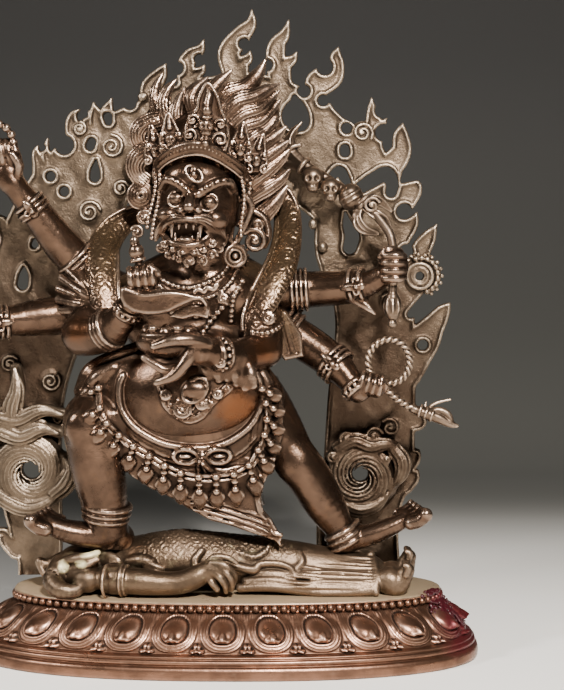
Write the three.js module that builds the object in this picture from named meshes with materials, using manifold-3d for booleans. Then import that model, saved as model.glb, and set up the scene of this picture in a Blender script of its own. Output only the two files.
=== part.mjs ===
// A six-armed guardian figure in patinated bronze. It stands on a prone elephant-headed figure, on an
// oval lotus plinth, before an openwork flame aureole. One hand holds a trident and one a noose.
// Millimetres, +Z up, the viewer at -Y. The origin is the middle of the plinth's underside.
import * as THREE from 'three';
import { mergeVertices } from 'three/addons/utils/BufferGeometryUtils.js';
import Module from 'manifold-3d';

const wasm = await Module();
wasm.setup();

// Driving dimensions.
const plinthLength = 174;
const plinthDepth = 80;
const plinthHeight = 23;
const rimBandHeight = 7;
const rimBandInset = 1.2;
const topInset = 13;
const beadBandHeight = 3.6;
const figureHeight = 181;
const aureoleHeight = 199;
const aureoleThickness = 3.2;
const swirlDepth = 8;
const staffDiameter = 2.2;
const ropeDiameter = 2.4;
const seatGap = 0.3;
const seamTolerance = 0.12;

// The standing figure, up to the tips of its hair, is drawn 181 mm high and the aureole 199 mm high, with
// heights measured from the plinth's top. These factors bring each drawing to its real size.
const figureScale = figureHeight / 181;
const aureoleScale = aureoleHeight / 199;
const figureBack = 13.4 * figureScale;
const plateFront = figureBack + seatGap;
const plateBack = plateFront + aureoleThickness;
const clearance = seatGap + seamTolerance;

const bronze = (color, roughness) => new THREE.MeshStandardMaterial({ color, roughness, metalness: 0.85 });
const plinthBronze = bronze(0x7a4a36, 0.42);
const figureBronze = bronze(0x6b4630, 0.36);
const flameBronze = bronze(0x7d6755, 0.45);
const proneBronze = bronze(0x5f4733, 0.5);
const implementBronze = bronze(0x7c6250, 0.4);

// A closed geometry as a solid that can be joined and cut.
function solid(geometry) {
  const bare = new THREE.BufferGeometry().setAttribute('position', geometry.getAttribute('position'));
  if (geometry.index) bare.setIndex(geometry.index);
  const merged = mergeVertices(bare, 1e-4);
  return new wasm.Manifold(new wasm.Mesh({
    numProp: 3,
    vertProperties: new Float32Array(merged.attributes.position.array),
    triVerts: new Uint32Array(merged.index.array),
  }));
}

// Joins leave small facets along the seams. This drops each vertex whose facets, drawn without it, pass
// within `seamTolerance` of it and keep their facing, so the surface stays closed and keeps its form.
function withoutSeamFacets(points, triangles) {
  const around = points.map(() => new Set());
  triangles.forEach((corners, t) => corners.forEach((v) => around[v].add(t)));
  const neighbours = (v) => new Set([...around[v]].flatMap((t) => triangles[t]).filter((u) => u !== v));
  const facet = new THREE.Triangle();
  const before = new THREE.Vector3();
  const after = new THREE.Vector3();
  const plane = new THREE.Plane();

  const canMove = (v, u) => {
    const shared = [...neighbours(u)].filter((w) => neighbours(v).has(w));
    if (shared.length !== 2) return false;
    return [...around[v]].filter((t) => !triangles[t].includes(u)).every((t) => {
      facet.set(...triangles[t].map((w) => points[w])).getNormal(before);
      facet.set(...triangles[t].map((w) => points[w === v ? u : w])).getNormal(after);
      plane.setFromNormalAndCoplanarPoint(after, points[u]);
      return facet.getArea() > 0.004 && before.dot(after) > 0.9
        && Math.abs(plane.distanceToPoint(points[v])) < seamTolerance;
    });
  };
  const move = (v, u) => {
    for (const t of around[v]) {
      if (triangles[t].includes(u)) {
        triangles[t].forEach((w) => w !== v && around[w].delete(t));
        triangles[t] = null;
      } else {
        triangles[t] = triangles[t].map((w) => (w === v ? u : w));
        around[u].add(t);
      }
    }
    around[v].clear();
  };
  for (let pass = 0; pass < 3; pass++) {
    for (let v = 0; v < points.length; v++) {
      const nearest = [...neighbours(v)].sort((p, q) =>
        points[p].distanceToSquared(points[v]) - points[q].distanceToSquared(points[v]));
      const target = nearest.find((u) => canMove(v, u));
      if (target !== undefined) move(v, target);
    }
  }
  return triangles.filter(Boolean);
}

function geometryOf(body) {
  const { vertProperties, triVerts } = body.getMesh();
  const points = Array.from({ length: vertProperties.length / 3 }, (_, i) =>
    new THREE.Vector3().fromArray(vertProperties, i * 3));
  const corners = Array.from({ length: triVerts.length / 3 }, (_, t) =>
    [...triVerts.subarray(t * 3, t * 3 + 3)]);
  const surface = withoutSeamFacets(points, corners).flat().map((v) => points[v]);
  const geometry = new THREE.BufferGeometry().setFromPoints(surface);
  geometry.computeVertexNormals();
  return geometry;
}

const join = (...bodies) => bodies.flat().reduce((whole, body) => whole.add(body));

// A place on the figure: drawn millimetres, with the height taken from the plinth's top.
function place([x, y, z]) {
  return new THREE.Vector3(x, y, z).multiplyScalar(figureScale).add(new THREE.Vector3(0, 0, plinthHeight));
}

// A round or oval bar through the given places. Each radius is one number, or a pair: one along `side` and
// one square to it. `grow` adds that much all round, for a clearance cut.
function limb(places, radii, { sides = 6, side = [0, 1, 0], grow = 0 } = {}) {
  const rows = places.map((at, i) => ({
    centre: place(at),
    size: [radii[i]].flat().map((r) => r * figureScale + grow),
  }));
  rows.forEach((row, i) => {
    const ahead = rows[Math.min(i + 1, rows.length - 1)].centre;
    const behind = rows[Math.max(i - 1, 0)].centre;
    row.along = ahead.clone().sub(behind).normalize();
  });
  rows[0].centre.addScaledVector(rows[0].along, -grow);
  rows.at(-1).centre.addScaledVector(rows.at(-1).along, grow);
  const reference = new THREE.Vector3(...side);
  for (const row of rows) {
    row.across = reference.clone().addScaledVector(row.along, -reference.dot(row.along));
    if (row.across.lengthSq() < 1e-2) row.across.set(1, 0, 0).addScaledVector(row.along, -row.along.x);
    row.across.normalize();
    row.square = row.along.clone().cross(row.across);
  }
  const bar = new THREE.CylinderGeometry(1, 1, 1, sides, rows.length - 1);
  const position = bar.getAttribute('position');
  for (let i = 0; i < position.count; i++) {
    const row = rows[Math.round((position.getY(i) + 0.5) * (rows.length - 1))];
    const point = row.centre.clone()
      .addScaledVector(row.across, -position.getX(i) * row.size[0])
      .addScaledVector(row.square, position.getZ(i) * row.size.at(-1));
    position.setXYZ(i, point.x, point.y, point.z);
  }
  return solid(bar);
}

// An egg-shaped mass.
function mass(centre, [rx, ry, rz], { around = 9, rows = 5 } = {}) {
  const ball = new THREE.SphereGeometry(1, around, rows);
  ball.rotateX(Math.PI / 2);
  ball.scale(rx * figureScale, ry * figureScale, rz * figureScale);
  const at = place(centre);
  ball.translate(at.x, at.y, at.z);
  return solid(ball);
}

// An upright slab cut from a flat outline in X and Z, between two depths.
function slab(shape, front, back) {
  const plate = new THREE.ExtrudeGeometry(shape, { depth: back - front, bevelEnabled: false, curveSegments: 5 });
  plate.rotateX(Math.PI / 2);
  plate.translate(0, back, 0);
  return solid(plate);
}

const flatPlace = (x, z) => new THREE.Vector2(x * figureScale, plinthHeight + z * figureScale);

// What stands on the plinth is cut flat a seating gap above it.
function clearOfPlinth(body) {
  const block = new THREE.BoxGeometry(600, 400, 100);
  block.translate(0, 0, plinthHeight + seatGap - 50);
  return body.subtract(solid(block));
}

// The lotus plinth: an oval drum with a moulded foot, a sloping ring of petals and a beaded top.
const ovalPower = 2.35;
const petalCount = 24;
const petalSteps = 3;
const smoothSteps = 34;

// A point on the plinth's outline, a superellipse, drawn in by `inset`.
function ovalPoint(angle, inset) {
  const c = Math.cos(angle);
  const s = Math.sin(angle);
  return [
    (plinthLength / 2 - inset) * Math.sign(c) * Math.abs(c) ** (2 / ovalPower),
    (plinthDepth / 2 - inset) * Math.sign(s) * Math.abs(s) ** (2 / ovalPower),
  ];
}

// Angles that divide the outline into equal lengths, so that all petals are of one width.
function evenAngles(count) {
  const fine = 1440;
  const lengths = [0];
  for (let i = 1; i <= fine; i++) {
    const [x0, y0] = ovalPoint(((i - 1) / fine) * 2 * Math.PI, 0);
    const [x1, y1] = ovalPoint((i / fine) * 2 * Math.PI, 0);
    lengths.push(lengths[i - 1] + Math.hypot(x1 - x0, y1 - y0));
  }
  return Array.from({ length: count + 1 }, (_, k) => {
    const wanted = (lengths[fine] * k) / count;
    return (lengths.findIndex((l) => l >= wanted) / fine) * 2 * Math.PI;
  });
}

// An oval drum with the given rows of inset and height. `swell` gives the outward push at a step of a row.
function ovalDrum(rows, steps, swell = () => 0) {
  const drum = new THREE.CylinderGeometry(1, 1, 1, steps, rows.length - 1);
  const angles = evenAngles(steps);
  const position = drum.getAttribute('position');
  for (let i = 0; i < position.count; i++) {
    const row = Math.round((position.getY(i) + 0.5) * (rows.length - 1));
    const [inset, height] = rows[row];
    if (Math.hypot(position.getX(i), position.getZ(i)) < 0.5) {
      position.setXYZ(i, 0, 0, height);
      continue;
    }
    const turn = Math.atan2(-position.getZ(i), position.getX(i)) / (2 * Math.PI);
    const step = Math.round((turn < -1e-6 ? turn + 1 : turn) * steps) % steps;
    const [x, y] = ovalPoint(angles[step], inset - swell(step, row));
    position.setXYZ(i, x, y, height);
  }
  return solid(drum);
}

function lotusPlinth() {
  const petalTop = plinthHeight - beadBandHeight;
  const petalZone = petalTop - rimBandHeight;
  const slope = topInset - rimBandInset - 1.6;
  const petalRow = (share) => [rimBandInset + 2.6 + slope * share ** 1.4, rimBandHeight + petalZone * share];
  const foot = ovalDrum([[0, 0], [0, rimBandHeight * 0.45], [rimBandInset, rimBandHeight * 0.55],
    [rimBandInset, rimBandHeight]], smoothSteps);
  const petals = ovalDrum(
    [[rimBandInset + 2.6, rimBandHeight * 0.5], petalRow(0.06), petalRow(0.55), petalRow(1)],
    petalCount * petalSteps, (step, row) => [0, 2.2, 3, 0][row] * [0, 1, 1][step % petalSteps]);
  const top = ovalDrum(
    [[topInset + 2, petalTop - 1.5], [topInset, petalTop], [topInset - 1, petalTop + beadBandHeight * 0.45],
      [topInset + 0.4, plinthHeight - 0.6], [topInset + 0.8, plinthHeight]], smoothSteps);
  return join(foot, petals, top);
}

// The flame aureole: a horseshoe band with flame tongues, round bites, drop-shaped holes and scrolls.
const flameAt = (x, z) => new THREE.Vector2(x * aureoleScale, plinthHeight + z * aureoleScale);

// The outline of one tongue. Its heading is in degrees from upright, positive to +X, and it swings by
// `bend` one way and back the other.
function tongueShape([x, z, heading, length, width, bend]) {
  const steps = 4;
  const right = [];
  const left = [];
  const root = 0.2;
  const spot = new THREE.Vector2(x, z);
  spot.x -= Math.sin(THREE.MathUtils.degToRad(heading)) * length * root;
  spot.y -= Math.cos(THREE.MathUtils.degToRad(heading)) * length * root;
  for (let i = 0; i <= steps; i++) {
    const t = i / steps;
    const angle = THREE.MathUtils.degToRad(heading + bend * Math.cos(1.5 * Math.PI * t));
    const half = (width / 2) * (1 - t) ** 0.75 * (1 + 0.35 * Math.sin(Math.PI * t));
    right.push(flameAt(spot.x + half * Math.cos(angle), spot.y - half * Math.sin(angle)));
    if (i < steps) left.unshift(flameAt(spot.x - half * Math.cos(angle), spot.y + half * Math.sin(angle)));
    spot.x += (Math.sin(angle) * length * (1 + root)) / steps;
    spot.y += (Math.cos(angle) * length * (1 + root)) / steps;
  }
  return new THREE.Shape([...right, ...left]);
}

// A drop-shaped hole: round below, drawn up to a point that leans by `lean` degrees.
function dropShape([x, z, radius, lean, stretch]) {
  const outline = [];
  const steps = 6;
  for (let i = 0; i < steps; i++) {
    const angle = THREE.MathUtils.degToRad(130 + (280 * i) / (steps - 1));
    outline.push(new THREE.Vector2(radius * Math.cos(angle), radius * Math.sin(angle)));
  }
  outline.push(new THREE.Vector2(0, radius * stretch));
  const turn = THREE.MathUtils.degToRad(-lean);
  return new THREE.Shape(outline.map((p) => {
    p.rotateAround(new THREE.Vector2(), turn);
    return flameAt(x + p.x, z + p.y);
  }));
}

const bandOuter = [
  [62, -5], [61.5, 4], [59.5, 13], [60, 22], [64, 29.5], [66, 38], [65, 47], [67.5, 55.5], [64, 65], [65, 73],
  [67, 81], [62.5, 89], [64, 99], [61, 109], [63, 118], [59.5, 128], [61, 138], [59.5, 145.5], [55, 152],
  [48, 152.5], [43.2, 157.5], [41, 152.3], [38.3, 154.7], [36, 165], [31.3, 169.5], [25, 171.5], [21.5, 177],
  [7.5, 177.5], [-8, 175.5], [-24, 171.5], [-30, 168], [-37.5, 162.5], [-45, 160.5], [-51.5, 159], [-57, 151.5],
  [-63, 147], [-68, 139], [-73, 132], [-79, 124], [-81.5, 118], [-83, 112.5], [-86, 106], [-86.5, 96], [-85, 84],
  [-83.5, 70], [-84.5, 58], [-83.5, 46], [-82, 34], [-79, 23], [-76, 13], [-76, -5],
];
const bandInner = [
  [-60, -5], [-60.5, 5.5], [-59, 20], [-60.5, 38], [-59, 54], [-57.5, 68], [-55, 80], [-51.5, 90], [-47, 102],
  [-44, 116], [-40.5, 125], [-34, 133], [-24, 140], [-8, 143.5], [8, 141.5], [17, 137], [23, 131], [26.5, 124],
  [28.5, 115], [33, 109], [36.5, 100], [37.5, 90], [37, 80], [35, 70], [34.5, 60], [34.5, 44], [32, 34], [30, 22],
  [29.5, 12], [31, -5],
];
// Each tongue: X, Z, heading, length, width, bend.
const tongues = [
  [3.7, 176.9, 4, 25.2, 11, -34], [19.1, 176.2, -1, 22.2, 10, -34], [-10.3, 174.2, -1, 17.1, 13, -36],
  [-23.9, 171.4, 7, 10.4, 12, -26], [-41.2, 160.3, -4, 9.7, 9, -30], [-50.7, 158.3, -20, 7.6, 7, -30],
  [-64.2, 145, 7, 10.8, 7, 20], [32.7, 167.2, 9, 22.6, 10, -40], [46.7, 152.6, 20, 18.2, 10, 30],
  [58.7, 144.2, 15, 18, 9, 30], [60.8, 135.2, 56, 9.1, 8, 34], [60.2, 124.7, 61, 9, 7, 30],
  [61.6, 112.1, 50, 19.6, 12, 34], [61.8, 86, 59, 22.8, 13, 34], [63.3, 75.4, 54, 14, 8, 30],
  [64.7, 64.7, 42, 7.4, 6, 26], [64.8, 52.6, 54, 7.9, 6, 26], [63.5, 32.6, 46, 7.8, 6, 24],
  [60.4, 7, 54, 7, 7, 26], [-72.1, 132, -29, 9.3, 8, -30], [-78.5, 124, -39, 9.7, 8, -30],
  [-84, 110, -46, 10, 9, -32], [-86, 97, -47, 10, 9, -32], [-84.5, 82, -54, 10, 9, -32], [-83.5, 68, -53, 9.5, 9, -30],
  [-84, 54, -56, 9.5, 8, -30], [-82, 37, -60, 8.5, 8, -28], [-76.5, 11, -53, 8, 8, -26],
];
// Each round bite out of the edge: X, Z, radius.
const bites = [
  [12.5, 181.7, 3.2], [-3.3, 179.7, 2.8], [28.5, 175.5, 3.2], [-17.6, 176.3, 2.5], [-33.8, 168, 3.2],
  [-57.1, 153.7, 3], [54.8, 154.7, 3.2], [62.2, 144.9, 2.5], [68.7, 108.6, 4.2], [67.4, 90.9, 3.2],
];
// Each drop-shaped hole: X, Z, radius, lean, stretch.
const drops = [
  [23.3, 164.4, 2.8, 0, 2.4], [41.1, 149.8, 1.4, 0, 1.6], [51.7, 140.8, 3.9, 0, 1.5], [-42.2, 162.4, 1.4, 0, 1.6],
  [-48.3, 152.7, 1.8, 0, 1.4], [-47, 142.2, 2.5, 0, 2], [-62.8, 141.5, 1.8, 0, 1.4], [-57.9, 135.9, 1.8, 0, 1.5],
  [-68, 118, 1.4, 0, 1.6], [-73.1, 103.9, 2.5, 0, 1.8], [45.5, 117.3, 2.8, 0, 1.6], [57, 53.3, 1.6, 40, 1.6],
  [51.4, 49.7, 2.1, 60, 1.6], [-80, 90, 2.1, 0, 1.9], [51.7, 128.5, 1.8, 20, 2],
];
// Each raised scroll: X, Z, radius.
const scrolls = [
  [-40.2, 152.7, 3.9], [-37.1, 138.4, 2.8], [-49.2, 130, 3.9], [47.1, 156.8, 3.5], [-63.2, 69.8, 3.5],
  [-60.5, 56.6, 3.2], [35.6, 116.3, 2.5], [-78.9, 76, 3.2], [56, 96, 3.2],
];
// Each hair-grooved cloud swirl: X, Z, outer radius, hole radius.
const swirls = [[-70.6, 39, 12.5, 3.2], [46.5, 37, 10.5, 2.6]];

function swirl([x, z, outer, hole]) {
  const half = swirlDepth / 2;
  const middle = (outer + hole) / 2;
  const ring = new THREE.LatheGeometry([
    new THREE.Vector2(hole, -half * 0.5), new THREE.Vector2(middle, -half * 0.95),
    new THREE.Vector2(outer, -half * 0.4), new THREE.Vector2(outer, half), new THREE.Vector2(hole, half),
    new THREE.Vector2(hole, -half * 0.5),
  ], 12);
  ring.scale(aureoleScale, 1, aureoleScale);
  const at = flameAt(x, z);
  ring.translate(at.x, plateFront + 0.6 - half, at.y);
  return solid(ring);
}

function flameAureole() {
  const band = new THREE.Shape(
    [...new THREE.SplineCurve(bandOuter.map(([x, z]) => flameAt(x, z))).getPoints(42),
      ...new THREE.SplineCurve(bandInner.map(([x, z]) => flameAt(x, z))).getPoints(24)]);
  const flat = (shape) => slab(shape, plateFront, plateBack);
  const through = (shape) => slab(shape, plateFront - swirlDepth, plateBack + 1);
  const biteShape = ([x, z, radius], corners = 8) => new THREE.Shape(Array.from({ length: corners }, (_, i) => {
    const turn = (i / corners) * 2 * Math.PI;
    return flameAt(x + radius * Math.cos(turn), z + radius * Math.sin(turn));
  }));
  let plate = join(flat(band), tongues.map((t) => flat(tongueShape(t))));
  for (const bite of bites) plate = plate.subtract(through(biteShape(bite)));
  const raised = scrolls.map(([x, z, radius]) => {
    const disc = new THREE.CylinderGeometry(radius * aureoleScale, radius * aureoleScale, 2.4, 7);
    const at = flameAt(x, z);
    disc.translate(at.x, plateFront, at.y);
    return solid(disc);
  });
  let whole = join(plate, raised, swirls.map(swirl));
  for (const drop of drops) whole = whole.subtract(through(dropShape(drop)));
  for (const [x, z, , hole] of swirls) whole = whole.subtract(through(biteShape([x, z, hole])));
  return clearOfPlinth(whole);
}

// The standing figure. Left and right are the viewer's, since the figure faces the viewer.
const headCentre = new THREE.Vector3(-8.5, -8, 132);
const headTurn = new THREE.Euler(0, THREE.MathUtils.degToRad(4), THREE.MathUtils.degToRad(-14), 'ZYX');
const inHead = (x, y, z) => new THREE.Vector3(x, y, z).applyEuler(headTurn).add(headCentre).toArray();
const bothSides = (make) => [make(-1), make(1)];

const small = { around: 5, rows: 4 };

// A closed ring of metal round a limb, such as an armlet, between two places on its axis.
const cuff = (from, to, radius) => limb([from, to], [radius, radius]);

function head() {
  const face = join(
    mass(inHead(0, 1, 2), [13.6, 13, 17]),
    mass(inHead(0, -3.5, -10.5), [11.5, 10.5, 8.5], { around: 8, rows: 4 }),
    mass(inHead(0, -11.4, 8.6), [2.2, 2.6, 3.8], small),
    limb([inHead(0, -12, 5), inHead(0, -16, 1), inHead(0, -17, -3)], [1.6, 2.2, 3.2], { sides: 5 }),
    bothSides((s) => mass(inHead(s * 5.8, -11.2, 1), [3.4, 3.2, 3.2], small)),
    limb([inHead(-11.4, -9.6, 6), inHead(-6, -14.4, 7.6), inHead(0, -15, 4), inHead(6, -14.4, 7.6),
      inHead(11.4, -9.6, 6)], [0.9, 2, 1.6, 2, 0.9], { sides: 4 }),
    bothSides((s) => mass(inHead(s * 8.6, -10.4, -4), [4, 3.6, 3.4], small)),
    limb([inHead(-9.8, -8, -9.4), inHead(-5, -14.4, -6), inHead(5, -14.4, -6), inHead(9.8, -8, -9.4)],
      [1.4, 2, 2, 1.4], { sides: 4 }),
    limb([inHead(-10.4, -6.4, -11), inHead(-5, -13.4, -14.4), inHead(5, -13.4, -14.4), inHead(10.4, -6.4, -11)],
      [2.2, 2.9, 2.9, 2.2], { sides: 4 }),
    bothSides((s) => limb([inHead(s * 13.4, -1, 3), inHead(s * 14.4, -2, -3), inHead(s * 12.4, -4, -16)],
      [[3, 1.8], [3.4, 2.2], [2, 1.6]], { sides: 4 })),
  );
  return face.subtract(mass(inHead(0, -15.4, -10.2), [6.4, 3.6, 2.3], small));
}

// The crown: a sloping band, and on it five skulls under pointed jewels.
function crown() {
  const onBand = (turn, out, up) => {
    const angle = THREE.MathUtils.degToRad(turn);
    return inHead((14 + out) * Math.sin(angle), -(13.2 + out) * Math.cos(angle), 9 + 6 * Math.cos(angle) + up);
  };
  const bandTurns = [-104, -74, -44, -15, 15, 44, 74, 104];
  const band = limb(bandTurns.map((turn) => onBand(turn, 0, 0)), bandTurns.map(() => 2.3), { sides: 4 });
  const skulls = [[-86, 0.72], [-44, 0.85], [0, 1], [44, 0.85], [86, 0.72]].map(([turn, size]) => limb(
    [0, 6, 9.6, 11.4, 15, 22].map((up) => onBand(turn, 0.3, up * size)),
    [2.6, 4, 3, 1.6, 2.9, 0.5].map((r) => r * size), { sides: 5 }));
  return join(band, skulls);
}

// The hair: a broad mass behind the crown that ends in flame-like locks. Each lock: its tip, how far it
// bows to the right of a straight line, and its half width.
function hair() {
  const root = [-6, 3.5, 148];
  const locks = [
    [[-6.3, 4, 174], -2, 5.4], [[1.9, 4, 177], 2, 5.4], [[13.1, 4.5, 180.5], 4, 5.8],
    [[17.4, 4, 171.6], 4, 5.6], [[20.1, 3.5, 158.4], 3, 5.6], [[21.3, 3, 149.5], 0, 5.4],
    [[19.8, 3, 138.3], 2, 5], [[-14.8, 4, 171.6], 2, 5.4], [[-33, 4, 152], -4, 5.6],
  ];
  const mane = mass(root, [23, 9, 22], { around: 10, rows: 5 });
  const strands = locks.map(([tip, bow, half]) => {
    const from = new THREE.Vector3(...root);
    const span = new THREE.Vector3(...tip).sub(from);
    const sideways = new THREE.Vector3(span.z, 0, -span.x).normalize();
    const along = (t, push) => from.clone().addScaledVector(span, t).addScaledVector(sideways, push).toArray();
    return limb([along(0.4, 0), along(0.74, bow * 0.7), tip], [[half, 3.4], [half * 0.9, 2.8], [0.6, 0.6]],
      { sides: 4, side: [span.z, 0, -span.x] });
  });
  const curls = [
    limb([[-22, 3, 143], [-28, 4, 139], [-31, 4, 134], [-26, 3, 130]], [4, 4.8, 4.4, 2]),
    limb([[10, 1, 134], [14, 0, 126], [13, -1, 118], [7, -3, 113]], [3, 4, 4.2, 2.4]),
  ];
  return join(mane, strands, curls);
}

// The brocade scarf: one flat band falls on each side from behind the head to the front of the shoulder.
function scarf() {
  const left = [[-32, 7, 129], [-38, 6, 126.5], [-44, 3, 121], [-47.6, 1, 111.5], [-45.5, -3, 102], [-41, -7, 95]];
  const right = [[17, 7, 137], [22.5, 5, 130], [25.4, 2, 120], [23.8, -1.5, 110], [18.5, -6, 101], [11.5, -10, 92]];
  return [left, right].map((path) => limb(path, path.map((at, i) => [i === 0 ? 2.8 : 4.6, 2]),
    { sides: 4, side: [1, 0, 0.35] }));
}

function torso() {
  return join(
    mass([-9.5, -2, 94], [28, 12.5, 19]),
    mass([-8, -10, 68], [23.5, 17, 21.5], { around: 12, rows: 7 }),
    mass([-8.5, 0, 66], [27, 12, 22]),
    limb([[-8, -4, 104], inHead(0, 0, -6)], [10, 9]),
  );
}

// The jewels that lie on the chest and belly: three rosettes and the strings that hold them.
function jewels() {
  const bead = (at, r) => mass(at, [r, r * 0.7, r], small);
  const string = (...path) => limb(path, path.map(() => 1.6), { sides: 4 });
  return join(
    bead([-10, -25.6, 75], 5), bead([-14.5, -26, 67.5], 3.2), bead([-8, -26.6, 67.8], 3),
    string([-22, -21, 84], [-12, -25.6, 77], [-5, -25.6, 78], [4, -21, 84]),
  );
}

// The tiger-skin skirt under a rolled belt. Its hem runs down to a point at the right, and a string of
// small bells and tassels hangs over it.
function skirt() {
  const hem = [
    [-51, 69], [-49, 63], [-45, 56], [-39, 49], [-31, 40.5], [-22.5, 34.5], [-13.5, 30], [-3.6, 25.8], [8, 21.6],
    [15, 17.6], [18.8, 15.4], [18.2, 20], [15.4, 26], [12.6, 31], [13, 37], [16.5, 45], [19.6, 54], [20, 64],
    [17, 72], [0, 78], [-30, 80], [-42, 76],
  ];
  const sheet = slab(new THREE.Shape(hem.map(([x, z]) => flatPlace(x, z))), -30 * figureScale, 10 * figureScale);
  const hips = { centre: [-15.5, -1, 60], size: [44, 22.5, 42] };
  const drape = sheet.intersect(join(
    mass(hips.centre, hips.size, { around: 12, rows: 6 }),
    limb([[-14, -15, 40], [0, -15.5, 31], [12, -14.5, 22], [20, -13.5, 15]],
      [[18, 2.6], [15, 2], [9, 1.5], [6, 1.2]], { side: [0.6, 0, 1] }),
  ));
  // The front of the hips at a place seen from the front.
  const onHips = (x, z, out) => {
    const [u, , w] = [x, 0, z].map((v, i) => (v - hips.centre[i]) / hips.size[i]);
    return [x, hips.centre[1] - out - hips.size[1] * Math.sqrt(Math.max(0, 1 - u * u - w * w)), z];
  };
  const arc = (places, out) => places.map(([x, z]) => onHips(x, z, out));
  const beltPath = arc([[-37, 75], [-33.5, 62], [-22, 53.5], [-6, 51.5], [6, 56], [13, 71]], -0.4);
  const belt = limb(beltPath, beltPath.map(() => 2.6), { sides: 4 });
  const tasselPath = new THREE.CatmullRomCurve3(
    arc([[-48, 66], [-42, 55], [-33, 46], [-21, 39.5], [-7, 36.5], [4, 38], [11.5, 44], [17, 55], [19, 66]], -0.6)
      .map((at) => new THREE.Vector3(...at)));
  const tassels = tasselPath.getSpacedPoints(12).map(({ x, y, z }) => limb(
    [[x, y, z + 3.4], [x, y - 0.4, z - 1.4], [x, y, z - 5.4]], [1.2, 2.5, 0.3], { sides: 4 }));
  return join(drape, belt, tassels);
}

// The feet are named apart from the legs, because the prone figure below is hollowed to take them.
const feet = {
  left: [[[-33, -9, 19.5], [-40, -12, 20], [-50, -15, 20.8], [-58, -16.5, 23], [-63, -16.5, 26.4]],
    [[6.4, 5], [6, 4.8], [5.2, 3.4], [4.4, 2.6], [2.2, 1.4]]],
  right: [[[38, -5, 16], [44, -6.4, 18.4], [52, -7.6, 19.4], [60, -8, 23], [68, -8, 27.6]],
    [[4.6, 4.4], [5, 4.6], [5, 3.2], [4.4, 2.5], [2.2, 1.4]]],
};
const foot = (side, grow = 0) => limb(...feet[side], { grow });

function legs() {
  return join(
    limb([[-20, 0, 60], [-36, -9, 65], [-48, -18, 61]], [12, 12, 8.6], { sides: 7 }),
    limb([[-44.6, -16, 70], [-45, -17, 60], [-43.5, -16, 46], [-41, -13, 34], [-40, -11.5, 22.4]],
      [7.6, 9.8, 8.2, 7.6, 6.4], { sides: 7 }),
    limb([[6, -2, 64], [18, -3, 60], [25, -4.5, 51], [29, -6, 43.5], [33, -6, 33], [38.5, -6, 22], [40, -6, 19.4]],
      [12, 11, 9.4, 6.8, 7.6, 5.4, 4.8], { sides: 7 }),
    foot('left'), foot('right'),
    cuff([-42.2, -14, 31], [-41.6, -13.4, 27.4], 9), cuff([36.6, -6, 25], [38.6, -6, 21], 7),
  );
}

// A fist round a handle that runs through `at` along `handle`. Four closed fingers make four rolls on it.
function fist(at, handle, size = 1) {
  const grip = new THREE.Vector3(...handle).normalize();
  const rolls = [-4.5, -3, -1.5, 0, 1.5, 3, 4.5];
  return limb(rolls.map((g) => new THREE.Vector3(...at).addScaledVector(grip, g * size).toArray()),
    rolls.map((g, i) => (i % 2 ? 4.7 : 5.7) * size), { sides: 5, side: [1, 0.3, 0.2] });
}

// Where each implement is held.
const staffGrip = [56.5, -6, 110.5];
const nooseGrip = [48.5, -8, 72];

function arms() {
  const finger = (...path) => limb(path, [1.9, 1.6, 1], { sides: 4 });
  const bowlHand = join(
    finger([-8, -34, 86], [-14, -37, 80], [-18.5, -35.5, 75]),
    limb([[-4, -33, 87], [-13, -35, 90], [-22, -34.5, 89.5], [-29, -33, 87]], [3.8, 3.4, 2.6, 1.4], { sides: 5 }),
    mass([-19, -34, 92], [10.5, 6.4, 4.8], { around: 8, rows: 4 }),
  );
  const raisedHand = join(
    mass([-73, -8, 140], [5, 4.4, 6], small),
    [-3, 0.6, 4.2].map((dx) => finger([-73 + dx, -8, 141], [-74 + dx, -11, 147], [-74.5 + dx, -10, 152])),
  );
  return join(
    limb([[-26, -3, 99], [-40, -5, 99], [-50, -11, 90], [-54, -16, 83]], [9, 9, 8, 6.4]),
    limb([[-55, -14, 85], [-46, -20, 87], [-34, -27, 95], [-26, -31, 107]], [6.4, 7.4, 5.6, 4]),
    limb([[8, -3, 97], [19, -5, 95], [21.5, -11, 86], [20, -16, 81]], [9, 9, 8.2, 6.4]),
    limb([[22, -12, 85], [15, -19, 84.4], [6, -28, 84.6], [-6, -34.5, 86.5]], [6.4, 7.6, 6.2, 4.2]),
    limb([[-30, 1, 101], [-44, 2, 106], [-60, -3, 123], [-73, -8, 140]], [7.5, 7, 6.4, 4]),
    limb([[-32, 1, 97], [-48, 2, 94], [-68, -3, 93], [-85, -8, 91]], [7, 6.8, 6.4, 4]),
    limb([[10, 1, 100], [23, 2, 103], [41, -2, 104], [50, -5, 105.5], [56.5, -6, 110.5]], [7, 6.6, 6, 4.2, 4]),
    limb([[8, 1, 94], [22, 2, 88], [38, -5, 78], [48, -8, 68]], [6.8, 6.6, 6, 4]),
    cuff([-65.4, -5, 130.4], [-68.4, -6, 134], 6.4), cuff([-52, 1, 93.8], [-56, 0.4, 93.6], 8.2),
    cuff([25, 1.6, 103.2], [29.5, 0.8, 103.4], 7.8), cuff([45.4, -3.4, 104.6], [48.4, -4.4, 105], 6),
    cuff([39.4, -5.8, 76.8], [42, -6.8, 74.4], 6),
    fist([-26, -31, 107], [1, 0.2, 1], 0.9), fist(staffGrip, [0, 0, 1], 1.05),
    fist(nooseGrip, [1, 0, -0.15], 0.9), fist([-85, -8, 91], [0, -0.3, 1], 0.95),
    raisedHand, bowlHand,
  );
}

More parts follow.
